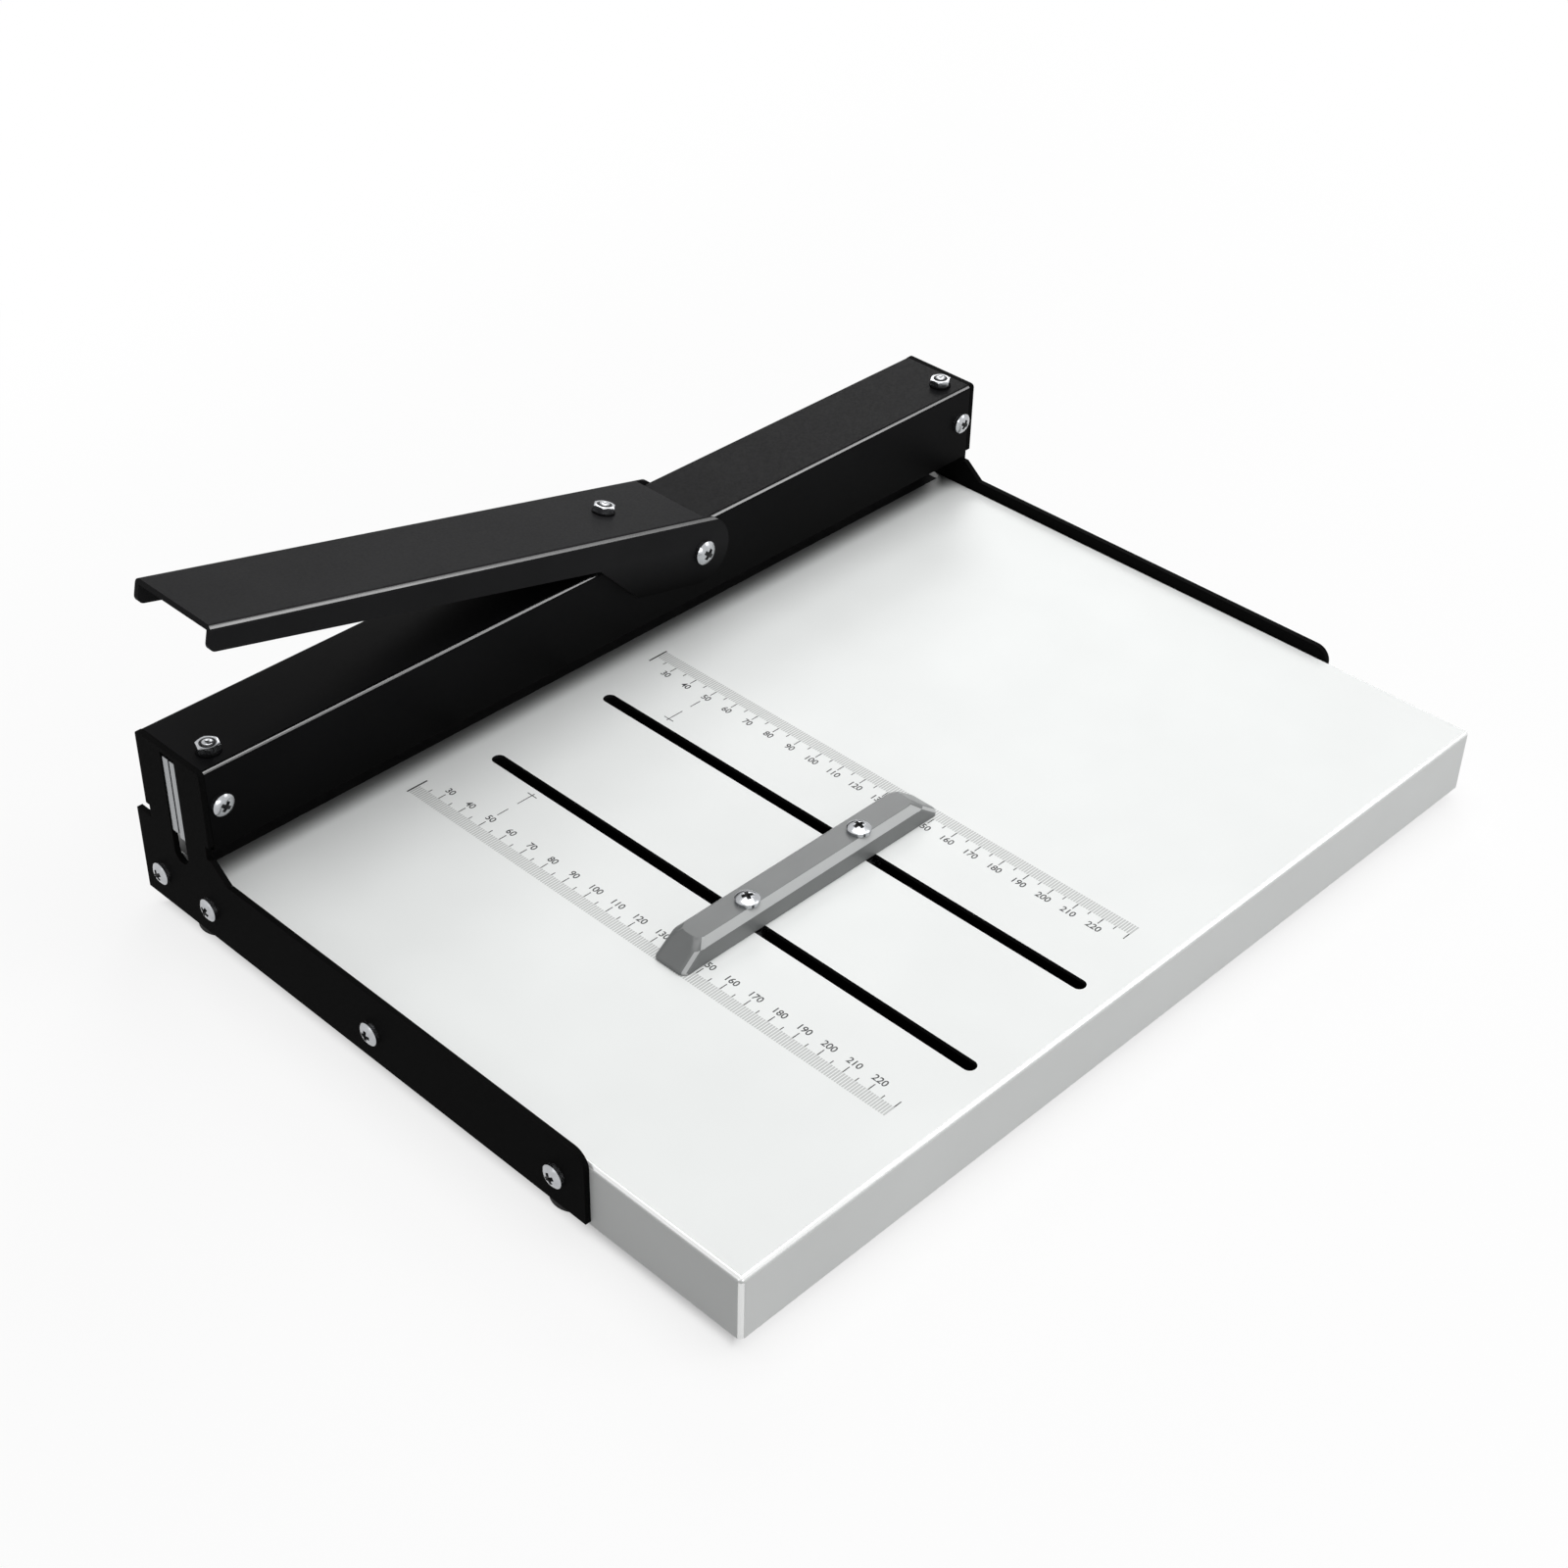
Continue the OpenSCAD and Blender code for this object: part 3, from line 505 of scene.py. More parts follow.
def grain_finish(name, grain, detail, dark, light, dull, surface, bump=None):
    """A finish whose colour and roughness follow one grain, sized in millimetres, that may also stand up."""
    made, tree, start = new_finish(name)
    cloud = add(tree, "ShaderNodeTexNoise", {"Scale": per_metre(grain), "Detail": detail}, {"Vector": start})
    tone = add(tree, "ShaderNodeMix", {"A": hex_colour(dark), "B": hex_colour(light)},
               {"Factor": cloud.outputs["Fac"]}, data_type="RGBA")
    rough = add(tree, "ShaderNodeMapRange", {**NOISE_RANGE, "To Min": dull[0], "To Max": dull[1]},
                {"Value": cloud.outputs["Fac"]})
    links = {"Base Color": tone.outputs["Result"], "Roughness": rough.outputs["Result"]}
    if bump:
        strength, height = bump
        relief = add(tree, "ShaderNodeBump", {"Strength": strength, "Distance": height * MM},
                     {"Height": cloud.outputs["Fac"]})
        links["Normal"] = relief.outputs["Normal"]
    skin = add(tree, "ShaderNodeBsdfPrincipled", surface, links)
    add(tree, "ShaderNodeOutputMaterial", links={"Surface": skin.outputs["BSDF"]})
    return made


def white_powder_coat():
    # Satin white powder coat on steel sheet: faint mottling and a fine orange peel that softens reflections,
    #     # with painted shade along the crease line: a soft-edged near-black band that makes the foot of the
    #     beam dark
    made, tree, start = new_finish("satin white powder coat with painted crease shade")
    mottle = add(tree, "ShaderNodeTexNoise", {"Scale": per_metre(45), "Detail": 2}, {"Vector": start})
    tone = add(tree, "ShaderNodeMix", {"A": hex_colour("#EDEFEE"), "B": hex_colour("#F7F9F8")},
               {"Factor": mottle.outputs["Fac"]}, data_type="RGBA")
    depth = add(tree, "ShaderNodeSeparateXYZ", links={"Vector": start})
    depth = add(tree, "ShaderNodeMath", {1: CREASE.y}, {0: depth.outputs["Y"]}, operation="SUBTRACT")
    depth = add(tree, "ShaderNodeMath", operation="ABSOLUTE", links={0: depth.outputs[0]})
    cover = add(tree, "ShaderNodeMapRange",
                {"From Min": CREASE_SHADE_START * MM, "From Max": CREASE_SHADE_END * MM,
                 "To Min": CREASE_SHADE_COVER, "To Max": 0},
                {"Value": depth.outputs[0]}, interpolation_type="SMOOTHSTEP")
    # Painted shade: near-black mixed into the white towards the crease line
    colour = add(tree, "ShaderNodeMix", {"B": hex_colour("#0A0A0A")},
                 {"Factor": cover.outputs[0], "A": tone.outputs["Result"]}, data_type="RGBA")
    peel = add(tree, "ShaderNodeTexNoise", {"Scale": per_metre(1.4), "Detail": 3}, {"Vector": start})
    dull = add(tree, "ShaderNodeMapRange", {**NOISE_RANGE, "To Min": 0.42, "To Max": 0.52},
               {"Value": peel.outputs["Fac"]})
    bump = add(tree, "ShaderNodeBump", {"Strength": 0.12, "Distance": 0.02 * MM},
               {"Height": peel.outputs["Fac"]})
    paint = add(tree, "ShaderNodeBsdfPrincipled", {"IOR": 1.5, "Specular IOR Level": 0.35},
                {"Base Color": colour.outputs["Result"], "Roughness": dull.outputs["Result"],
                 "Normal": bump.outputs["Normal"]})
    add(tree, "ShaderNodeOutputMaterial", links={"Surface": paint.outputs["BSDF"]})
    return made


def burnished_white():
    # Painted highlight: a lighter, glossier white coat on the middle of the folds, so that they draw a thin
    # white line
    return grain_finish("white powder coat with painted fold highlight", grain=20, detail=3,
                        dark="#F6F8F7", light="#FEFFFE", dull=(0.12, 0.2),
                        surface={"Metallic": 0.5, "IOR": 1.5, "Specular IOR Level": 1})


def dark_primer():
    # Baked primer on the inside of the table pan: flat and almost black, so that it also stands in for the
    # shade under the table
    return grain_finish("dark baked primer and painted shade", grain=6, detail=4, dark="#050505", light="#0D0D0D",
                        dull=(0.6, 0.75), surface={"Specular IOR Level": 0.15})


def black_powder_coat(name, dark, light, gloss, up, low, high):
    # Black powder coat with a soft sheen: a fine pebbled skin, drawn coarser than its real 0.3 mm so that it
    #     # shows, with painted shade that darkens it to near black towards the lower edge
    made, tree, start = new_finish(name)
    cloud = add(tree, "ShaderNodeTexNoise", {"Scale": per_metre(30), "Detail": 3}, {"Vector": start})
    tone = add(tree, "ShaderNodeMix", {"A": hex_colour(dark), "B": hex_colour(light)},
               {"Factor": cloud.outputs["Fac"]}, data_type="RGBA")
    height = add(tree, "ShaderNodeVectorMath", {1: up}, {0: start}, operation="DOT_PRODUCT")
    unshaded_share = add(tree, "ShaderNodeMapRange", {"From Min": low, "From Max": high, "To Min": 0, "To Max": 1},
                  {"Value": height.outputs["Value"]})
    # Painted shade: the tone goes towards near-black below the top
    tone = add(tree, "ShaderNodeMix", {"A": hex_colour("#020202")},
               {"Factor": unshaded_share.outputs["Result"], "B": tone.outputs["Result"]}, data_type="RGBA")
    pebble = add(tree, "ShaderNodeTexNoise", {"Scale": per_metre(0.9), "Detail": 2}, {"Vector": start})
    dull = add(tree, "ShaderNodeMapRange", {**NOISE_RANGE, "To Min": 0.34, "To Max": 0.46},
               {"Value": pebble.outputs["Fac"]})
    bump = add(tree, "ShaderNodeBump", {"Strength": 0.2, "Distance": 0.02 * MM},
               {"Height": pebble.outputs["Fac"]})
    paint = add(tree, "ShaderNodeBsdfPrincipled", {"IOR": 1.5, "Specular IOR Level": gloss},
                {"Base Color": tone.outputs["Result"], "Roughness": dull.outputs["Result"],
                 "Normal": bump.outputs["Normal"]})
    add(tree, "ShaderNodeOutputMaterial", links={"Surface": paint.outputs["BSDF"]})
    return made


def matt_black_coat():
    # Flat black powder coat of the side plates: fine-grained, so dull that it shows no reflection
    return grain_finish("matt black powder coat", grain=0.8, detail=2, dark="#070707", light="#121212",
                        dull=(0.5, 0.62), surface={"IOR": 1.5, "Specular IOR Level": 0.008},
                        bump=(0.2, 0.02))


def burnished_black():
    # Painted highlight: a lighter, glossier black coat on the middle of the folds, so that folds draw light
    # lines
    return grain_finish("black powder coat with painted fold highlight", grain=12, detail=3,
                        dark="#131314", light="#1F1F20", dull=(0.2, 0.28),
                        surface={"IOR": 1.7, "Specular IOR Level": 1})


def bright_zinc():
    # Bright zinc plating: near-white metal with a soft cloudiness in its gloss
    return grain_finish("bright zinc plate", grain=2.5, detail=4, dark="#A0A2A5", light="#C6C8CB",
                        dull=(0.16, 0.28), surface={"Metallic": 1})


def oil_film():
    # Painted shade: a dark colour in the recesses and centre holes of fasteners, so that the cross reads as
    # dark
    return grain_finish("painted shade in zinc recesses", grain=1, detail=3, dark="#1A1A1B", light="#4A4B4C",
                        dull=(0.3, 0.5), surface={"Specular IOR Level": 0.4})


def ground_steel():
    # Surface-ground steel bar: fine grinding lines along the bar, drawn 0.4 mm apart so that they show
    made, tree, start = new_finish("ground steel")
    along = add(tree, "ShaderNodeMapping", {"Scale": (0.02, 1, 1)}, {"Vector": start})
    lines = add(tree, "ShaderNodeTexNoise", {"Scale": per_metre(0.4), "Detail": 3},
                {"Vector": along.outputs["Vector"]})
    tone = add(tree, "ShaderNodeMix", {"A": hex_colour("#808284"), "B": hex_colour("#B2B4B6")},
               {"Factor": lines.outputs["Fac"]}, data_type="RGBA")
    dull = add(tree, "ShaderNodeMapRange", {**NOISE_RANGE, "To Min": 0.24, "To Max": 0.4},
               {"Value": lines.outputs["Fac"]})
    bump = add(tree, "ShaderNodeBump", {"Strength": 0.15, "Distance": 0.02 * MM},
               {"Height": lines.outputs["Fac"]})
    metal = add(tree, "ShaderNodeBsdfPrincipled", {"Metallic": 1},
                {"Base Color": tone.outputs["Result"], "Roughness": dull.outputs["Result"],
                 "Normal": bump.outputs["Normal"]})
    add(tree, "ShaderNodeOutputMaterial", links={"Surface": metal.outputs["BSDF"]})
    return made


def blackened_steel():
    # Hardened tool steel under a sooty black oxide: flat and near-black, also standing in for shade, so that
    # the crease line reads as a dark gap
    return grain_finish("black oxide tool steel and painted shade", grain=3, detail=4, dark="#060606", light="#0F0F10",
                        dull=(0.6, 0.75), surface={"Specular IOR Level": 0.03})


def spring_wire():
    # Drawn spring wire: darker steel with a slight sheen
    return grain_finish("drawn spring wire", grain=1.5, detail=3, dark="#6E7073", light="#939598",
                        dull=(0.25, 0.38), surface={"Metallic": 1})


def grey_stove_enamel(name, dark, light):
    # Grey stoved enamel on the cast stop: even satin colour with a slight waviness from the casting
    made, tree, start = new_finish(name)
    cloud = add(tree, "ShaderNodeTexNoise", {"Scale": per_metre(14), "Detail": 3}, {"Vector": start})
    tone = add(tree, "ShaderNodeMix", {"A": hex_colour(dark), "B": hex_colour(light)},
               {"Factor": cloud.outputs["Fac"]}, data_type="RGBA")
    peel = add(tree, "ShaderNodeTexNoise", {"Scale": per_metre(1.1), "Detail": 2}, {"Vector": start})
    dull = add(tree, "ShaderNodeMapRange", {**NOISE_RANGE, "To Min": 0.3, "To Max": 0.38},
               {"Value": peel.outputs["Fac"]})
    bump = add(tree, "ShaderNodeBump", {"Strength": 0.05, "Distance": 0.01 * MM},
               {"Height": peel.outputs["Fac"]})
    paint = add(tree, "ShaderNodeBsdfPrincipled", {"IOR": 1.5, "Specular IOR Level": 0.4},
                {"Base Color": tone.outputs["Result"], "Roughness": dull.outputs["Result"],
                 "Normal": bump.outputs["Normal"]})
    add(tree, "ShaderNodeOutputMaterial", links={"Surface": paint.outputs["BSDF"]})
    return made


def moulded_rubber():
    # Moulded black rubber: dull, with a dusty grain
    return grain_finish("moulded rubber", grain=0.7, detail=4, dark="#121212", light="#232323",
                        dull=(0.7, 0.85), surface={"Specular IOR Level": 0.3}, bump=(0.3, 0.03))


def black_nylon():
    # Moulded black nylon washers: faintly waxy, so that the slots stay black up to the stop
    return grain_finish("moulded black nylon", grain=2, detail=2, dark="#0C0C0D", light="#161617",
                        dull=(0.4, 0.5), surface={"IOR": 1.53})


def printed_ink(name, dark, light):
    # Screen-printed ink, a little uneven in its cover
    return grain_finish(name, grain=0.8, detail=3, dark=dark, light=light, dull=(0.5, 0.65),
                        surface={"Specular IOR Level": 0.3})


SHADED_WHITE_COAT = white_powder_coat()
WHITE_FOLD_HIGHLIGHT = burnished_white()
PRIMER_AND_SHADE = dark_primer()
SHADED_BLACK_COAT = black_powder_coat("satin black powder coat with painted shade", "#080809", "#131314", 0.024, (0, 0, 1),
                               CREASE.z + cover_low.z * MM, CREASE.z + cover_high.z * MM)
# Painted light: the lever's coat is a lighter copy of the black coat, with painted shade towards its lower
# edge
lever_up = Vector((sin(LEVER_OPEN), 0, cos(LEVER_OPEN)))
pivot_up = lever_up.dot(CREASE + PIVOT * MM)
LIT_LEVER_COAT = black_powder_coat("black powder coat with painted light and shade", "#1D1D1E", "#252526", 0.016, lever_up,
                               pivot_up - LEVER_TOP * MM, pivot_up + LEVER_SHADE_END * MM)
MATT_COAT = matt_black_coat()
BLACK_FOLD_HIGHLIGHT = burnished_black()
ZINC = bright_zinc()
RECESS_SHADE = oil_film()
STEEL = ground_steel()
ENAMEL = grey_stove_enamel("grey stove enamel", "#6E7070", "#7A7C7C")
# Painted highlight: a much lighter copy of the enamel for the front chamfer and front corners of the stop
ENAMEL_HIGHLIGHT = grey_stove_enamel("grey stove enamel with painted highlight", "#B0B2B2", "#BCBEBE")
RUBBER = moulded_rubber()
WIRE = spring_wire()
INK = printed_ink("screen print ink", "#28292A", "#525354")
PALE_INK = printed_ink("thinned screen print ink", "#C2C4C3", "#CECFCE")
NYLON = black_nylon()
BLACK_OXIDE_AND_SHADE = blackened_steel()
SLOT_FINISHES = {"table_enamel": SHADED_WHITE_COAT, "black_powder_coat": SHADED_BLACK_COAT, "ground_steel": STEEL,
                 "bright_zinc": ZINC, "spring_steel": WIRE, "foot_rubber": RUBBER, "nylon": NYLON,
                 "stop_enamel": ENAMEL}
NODE_FINISHES = {"creasing_die": BLACK_OXIDE_AND_SHADE}


def dress_nodes():
    """Gives every CAD node its own finish or the one of its material slot."""
    for part in frame["record"]["subparts"]:
        node = frame["nodes"][part["node"]]
        node.data.materials.clear()
        node.data.materials.append(NODE_FINISHES.get(part["node"], SLOT_FINISHES[part["material_slot"]]))


def paint_faces(piece, finish, test):
    """Puts a second finish on the faces that pass the test."""
    piece.data.materials.append(finish)
    choose(piece, "FACE", test)
    piece.active_material_index = len(piece.data.materials) - 1
    bpy.ops.object.material_slot_assign()
    bpy.ops.object.mode_set(mode="OBJECT")


def is_fold(face, level=Matrix.Identity(3)):
    """True along the middle of the fold between a level top and its front or rear wall."""
    aim = (level @ face.normal).normalized()
    return aim.z > FOLD_AIM and abs(aim.y) > FOLD_AIM and abs(aim.x) < SIDEWAYS


# Table
def table_sheet():
    sheet = block("table_sheet", table_low, table_high)
    round_edges(sheet, TABLE_FOLD_R, FOLD_STEPS, lambda edge: middle(edge).z > table_low.z + SHEET_T)
    wall = Vector((SHEET_T, SHEET_T, -SHEET_T))
    hollow = block("hollow", table_low + wall, (table_high.x - SHEET_T, table_high.y - SHEET_T, -SHEET_T))
    round_edges(hollow, BEND_R, BEND_STEPS, lambda edge: middle(edge).z > table_low.z)
    carve(sheet, hollow)
    for side in (-1, 1):
        root = side * (table_high.x - SHEET_T / 2)
        lip = block("lip", (root, table_low.y + LIP_RELIEF, table_low.z),
                    (side * (table_high.x - LIP_W), table_high.y - LIP_RELIEF, table_low.z + SHEET_T))
        carve(sheet, lip, "UNION")
    for x in GAUGE_X:
        slot = block("slot", (x - GAUGE_SLOT_W / 2, GAUGE_SLOT_FRONT, -3 * SHEET_T),
                     (x + GAUGE_SLOT_W / 2, GAUGE_SLOT_REAR, SHEET_T))
        round_edges(slot, SLOT_END * GAUGE_SLOT_W, SLOT_STEPS, lambda edge: runs_along(edge, 2))
        carve(sheet, slot)
    die_low_mm, die_high_mm = span("creasing_die")
    room = Vector((DIE_ROOM, DIE_ROOM, 4 * SHEET_T))
    carve(sheet, block("die opening", die_low_mm - room, die_high_mm + room))
    ease(sheet, SHEET_EDGE)
    seat(sheet, SHADED_WHITE_COAT, "frame", "table_top")
    paint_table(sheet)


def paint_table(sheet):
    """Dark primer inside the table's pan, which also stands in for its shade, and a painted highlight line
    along its outer folds.
    """
    inner_x = (table_high.x - INSIDE_WALL * SHEET_T) * MM
    inner_front = CREASE.y + (table_low.y + INSIDE_WALL * SHEET_T) * MM
    inner_rear = CREASE.y + (table_high.y - INSIDE_WALL * SHEET_T) * MM
    inner_top = CREASE.z - BELOW_TOP * SHEET_T * MM
    middle_y = CREASE.y + (table_low.y + table_high.y) / 2 * MM
    fold_in = TABLE_FOLD_R * MM

    def is_inside(face):
        centre = face.calc_center_median()
        within = abs(centre.x) < inner_x and inner_front < centre.y < inner_rear and centre.z < inner_top
        return within and (face.normal.z < INSIDE_UP or centre.z < CREASE.z - fold_in)

    def is_outer_fold(face):
        centre = face.calc_center_median()
        outward = Vector((centre.x, centre.y - middle_y, 1))
        at_side = abs(centre.x) > inner_x - fold_in
        at_end = not inner_front + fold_in < centre.y < inner_rear - fold_in
        slanted = sorted(abs(share) for share in face.normal)[1] > TABLE_FOLD_AIM
        upper = face.normal.z > TABLE_FOLD_UP or abs(face.normal.z) < SIDEWAYS
        return (at_side or at_end) and slanted and upper and face.normal.dot(outward) > 0

    paint_faces(sheet, PRIMER_AND_SHADE, is_inside)
    paint_faces(sheet, WHITE_FOLD_HIGHLIGHT, is_outer_fold)


# Side plates
def side_plate(side, name, node):
    outer = -side * plate_low.x
    inner = outer - side * PLATE_T
    past_outer = outer + side * OVERLAP
    past_inner = inner - side * OVERLAP
    tower = cover_high.y
    notch_low = RAIL_H + SHOULDER_RISE
    notch_high = notch_low + RELIEF_H
    plate = block(name, (outer, plate_low.y, plate_low.z), (inner, plate_high.y, RAIL_H))

    def is_rail_corner(edge):
        at_end = middle(edge).y < plate_low.y + NEAR and middle(edge).z > 0
        return runs_along(edge, 0) and at_end

    round_edges(plate, RAIL_CORNER_R, SLOT_STEPS, is_rail_corner)
    shoulder = block("shoulder", (outer, -tower - SHOULDER_W, -SHOULDER_RISE),
                     (inner, plate_high.y, notch_low))
    slice_off(shoulder, (0, -tower, notch_low), (0, -SHOULDER_RISE, SHOULDER_W))
    carve(plate, shoulder, "UNION")
    column = block("tower", (outer, -tower, plate_low.z + OVERLAP), (inner, tower, cover_high.z))
    round_edges(column, TOWER_CORNER_R, TOWER_CORNER_STEPS,
                lambda edge: runs_along(edge, 0) and middle(edge).z > cover_low.z)
    carve(plate, column, "UNION")
    for face in (-1, 1):
        notch = block("notch", (past_outer, face * (tower - RELIEF_D), notch_low),
                      (past_inner, face * (tower + SHOULDER_W), notch_high))
        carve(plate, notch)
    slot = block("slot", (past_outer, -PLATE_SLOT_W / 2, PLATE_SLOT_LOW),
                 (past_inner, PLATE_SLOT_W / 2, cover_high.z - COVER_T))
    round_edges(slot, SLOT_END * PLATE_SLOT_W, SLOT_STEPS,
                lambda edge: runs_along(edge, 0) and middle(edge).z < cover_low.z)
    carve(plate, slot)
    tab_outer = tower - COVER_T
    for face in (-1, 1):
        tab = block("tab", (inner + side * PLATE_T / 2, face * tab_outer, notch_high),
                    (-side * plate_high.x, face * (tab_outer - TAB_T), cover_high.z - COVER_T - TAB_ROOM))
        carve(plate, tab, "UNION")
    ease(plate, SHEET_EDGE)
    seat(plate, MATT_COAT, "frame", node)


# Beam cover
def cover_sheet():
    cover = block("cover_sheet", cover_low, cover_high)
    round_edges(cover, COVER_FOLD_R, FOLD_STEPS,
                lambda edge: runs_along(edge, 0) and middle(edge).z > cover_high.z - NEAR)
    hollow = block("hollow", (cover_low.x - OVERLAP, cover_low.y + COVER_T, cover_low.z - OVERLAP),
                   (cover_high.x + OVERLAP, cover_high.y - COVER_T, cover_high.z - COVER_T))
    round_edges(hollow, BEND_R, BEND_STEPS,
                lambda edge: runs_along(edge, 0) and middle(edge).z > cover_low.z)
    carve(cover, hollow)
    hole = Vector((PIVOT.x - STUD_HOLE_ARM, 0, cover_high.z))
    reach = Vector((0, 0, STUD_HOLE_REACH))
    carve(cover, rod("stud hole", STUD_HOLE_R, hole - reach, hole + reach))
    ease(cover, SHEET_EDGE)
    seat(cover, SHADED_BLACK_COAT, "frame", "beam_cover")
    # Painted highlight line along the middle of the folds
    paint_faces(cover, BLACK_FOLD_HIGHLIGHT, is_fold)


# Lever
def lever_sheet():
    free_low = LEVER_TOP - SIDE_D
    root_low = LEVER_TOP - SIDE_ROOT_D
    cheek_low = -LEVER_TOP
    wide = LEVER_HALF + OVERLAP
    lever = block("lever_sheet", (-LEVER_LEN, -wide, root_low - OVERLAP), (0, wide, LEVER_TOP + OVERLAP))
    slice_off(lever, (-CHEEK_START, 0, root_low), (root_low - free_low, 0, CHEEK_START - LEVER_LEN))

    def is_free_corner(edge):
        at_end = middle(edge).x < NEAR - LEVER_LEN and middle(edge).z < free_low + NEAR
        return runs_along(edge, 1) and at_end

    round_edges(lever, SIDE_CORNER_R, FOLD_STEPS, is_free_corner)
    cheek_half = wide + OVERLAP
    cheek = block("cheek", (-CHEEK_START - CHEEK_LAP, -cheek_half, cheek_low),
                  (-CHEEK_BACK, cheek_half, LEVER_TOP - CHEEK_LAP))
    slice_off(cheek, (-CHEEK_START, 0, root_low), (cheek_low - root_low, 0, CHEEK_FULL - CHEEK_START))
    carve(lever, cheek, "UNION")
    end_half = cheek_half + OVERLAP
    cheek_end = rod("cheek end", LEVER_TOP, (0, -end_half, 0), (0, end_half, 0), CHEEK_END_SIDES)
    carve(lever, cheek_end, "UNION")
    arch = block("arch", (-LEVER_LEN - OVERLAP, -LEVER_HALF, cheek_low - OVERLAP),
                 (LEVER_TOP + OVERLAP, LEVER_HALF, LEVER_TOP))
    round_edges(arch, LEVER_FOLD_R, FOLD_STEPS, lambda edge: runs_along(edge, 0) and middle(edge).z > 0)
    carve(lever, arch, "INTERSECT")
    inner_half = LEVER_HALF - LEVER_T
    past_arch = 2 * OVERLAP
    hollow = block("hollow", (-LEVER_LEN - past_arch, -inner_half, cheek_low - past_arch),
                   (LEVER_TOP + past_arch, inner_half, LEVER_TOP - LEVER_T))
    round_edges(hollow, BEND_R, BEND_STEPS, lambda edge: runs_along(edge, 0) and middle(edge).z > 0)
    carve(lever, hollow)
    between_cheeks = block("between cheeks", (-LEVER_PLATE_END, -inner_half, cheek_low - past_arch),
                           (LEVER_TOP + past_arch, inner_half, LEVER_TOP + OVERLAP))
    carve(lever, between_cheeks)
    ease(lever, LEVER_EDGE)
    seat(lever, LIT_LEVER_COAT, "lever", "lever", LEVER_PLACE)
    level = LEVER_PLACE.to_3x3().inverted()
    # Painted highlight line along the middle of the folds
    paint_faces(lever, BLACK_FOLD_HIGHLIGHT, lambda face: is_fold(face, level))


# Stop
def stop_casting():
    half_way = (stop_low.x + stop_high.x) / 2
    half_len = stop_high.x - half_way
    rise = stop_high.z - stop_low.z
    bar = block("stop_casting", stop_low, stop_high)
    for side in (-1, 1):
        end = half_way + side * half_len
        slice_off(bar, (end, 0, stop_low.z + STOP_END_H), (side * (rise - STOP_END_H), 0, STOP_SLOPE))
    slice_off(bar, (0, stop_low.y, stop_low.z), (0, STOP_FRONT_DROP - rise, STOP_LEAN))
    slice_off(bar, (0, stop_low.y + STOP_LEAN, stop_high.z - STOP_FRONT_DROP),
              (0, -STOP_FRONT_DROP, STOP_FRONT_RUN))
    slice_off(bar, (0, stop_high.y - STOP_REAR_CUT, stop_high.z), (0, 1, 1))

    def is_end_corner(edge):
        first, second = [vertex.co for vertex in edge.verts]
        at_end = abs(first.x - half_way) > half_len - STOP_SLOPE - NEAR
        return at_end and abs(first.z - second.z) > STOP_CORNER_MIN

    def is_rubbed(face):
        across, front, up = abs(face.normal.x), -face.normal.y, face.normal.z
        chamfer = front > FOLD_AIM and up > FOLD_AIM
        corner = front > HIGHLIGHT_FRONT and HIGHLIGHT_ACROSS[0] < across < HIGHLIGHT_ACROSS[1] and up < HIGHLIGHT_UP
        return chamfer or corner

    round_edges(bar, STOP_CORNER_R, FOLD_STEPS, is_end_corner)
    ease(bar, BAR_EDGE, STOP_EDGE_STEPS)
    seat(bar, ENAMEL, "stop", "stop_bar")
    # Painted highlight on the front chamfer and front corners
    paint_faces(bar, ENAMEL_HIGHLIGHT, is_rubbed)


# Fasteners
def pan_screw(head_r, head_h, shank_r, shank_len):
    """A domed screw with a cross recess, its head seated on z = 0."""
    dome_h = head_h - HEAD_RIM * head_h
    dome_r = (head_r ** 2 + dome_h ** 2) / (2 * dome_h)

    def dome_z(radius):
        return head_h - dome_r + sqrt(dome_r ** 2 - radius ** 2)

    def in_recess(face):
        centre = face.calc_center_median()
        radius = centre.xy.length
        surface = dome_z(radius) if radius < head_r else 0
        return radius < RECESS_SHADE_REACH * head_r and 0 < centre.z < surface - RECESS_SHADE_DEPTH

    radii = [head_r * i / DOME_STEPS for i in range(DOME_STEPS + 1)]
    dome = [(radius, dome_z(radius)) for radius in radii]
    screw = lathe("screw", [*dome, (head_r, 0), (shank_r, 0), (shank_r, -shank_len), (0, -shank_len)])
    reach, half_w = RECESS_REACH * head_r, RECESS_HALF_W * head_r
    for turn in (0, pi / 2):
        arm = block("recess", (-reach, -half_w, RECESS_FLOOR * head_h), (reach, half_w, RECESS_TOP * head_h))
        choose(arm, "FACE", lambda face: face.normal.z < -LEVEL_AIM)
        bpy.ops.transform.resize(value=RECESS_TAPER)
        bpy.ops.object.mode_set(mode="OBJECT")
        arm.data.transform(Matrix.Rotation(turn, 4, "Z"))
        carve(screw, arm)
    ease(screw, FASTENER_EDGE)
    screw.data.materials.append(ZINC)
    # Painted shade in the cross recess
    paint_faces(screw, RECESS_SHADE, in_recess)
    return screw


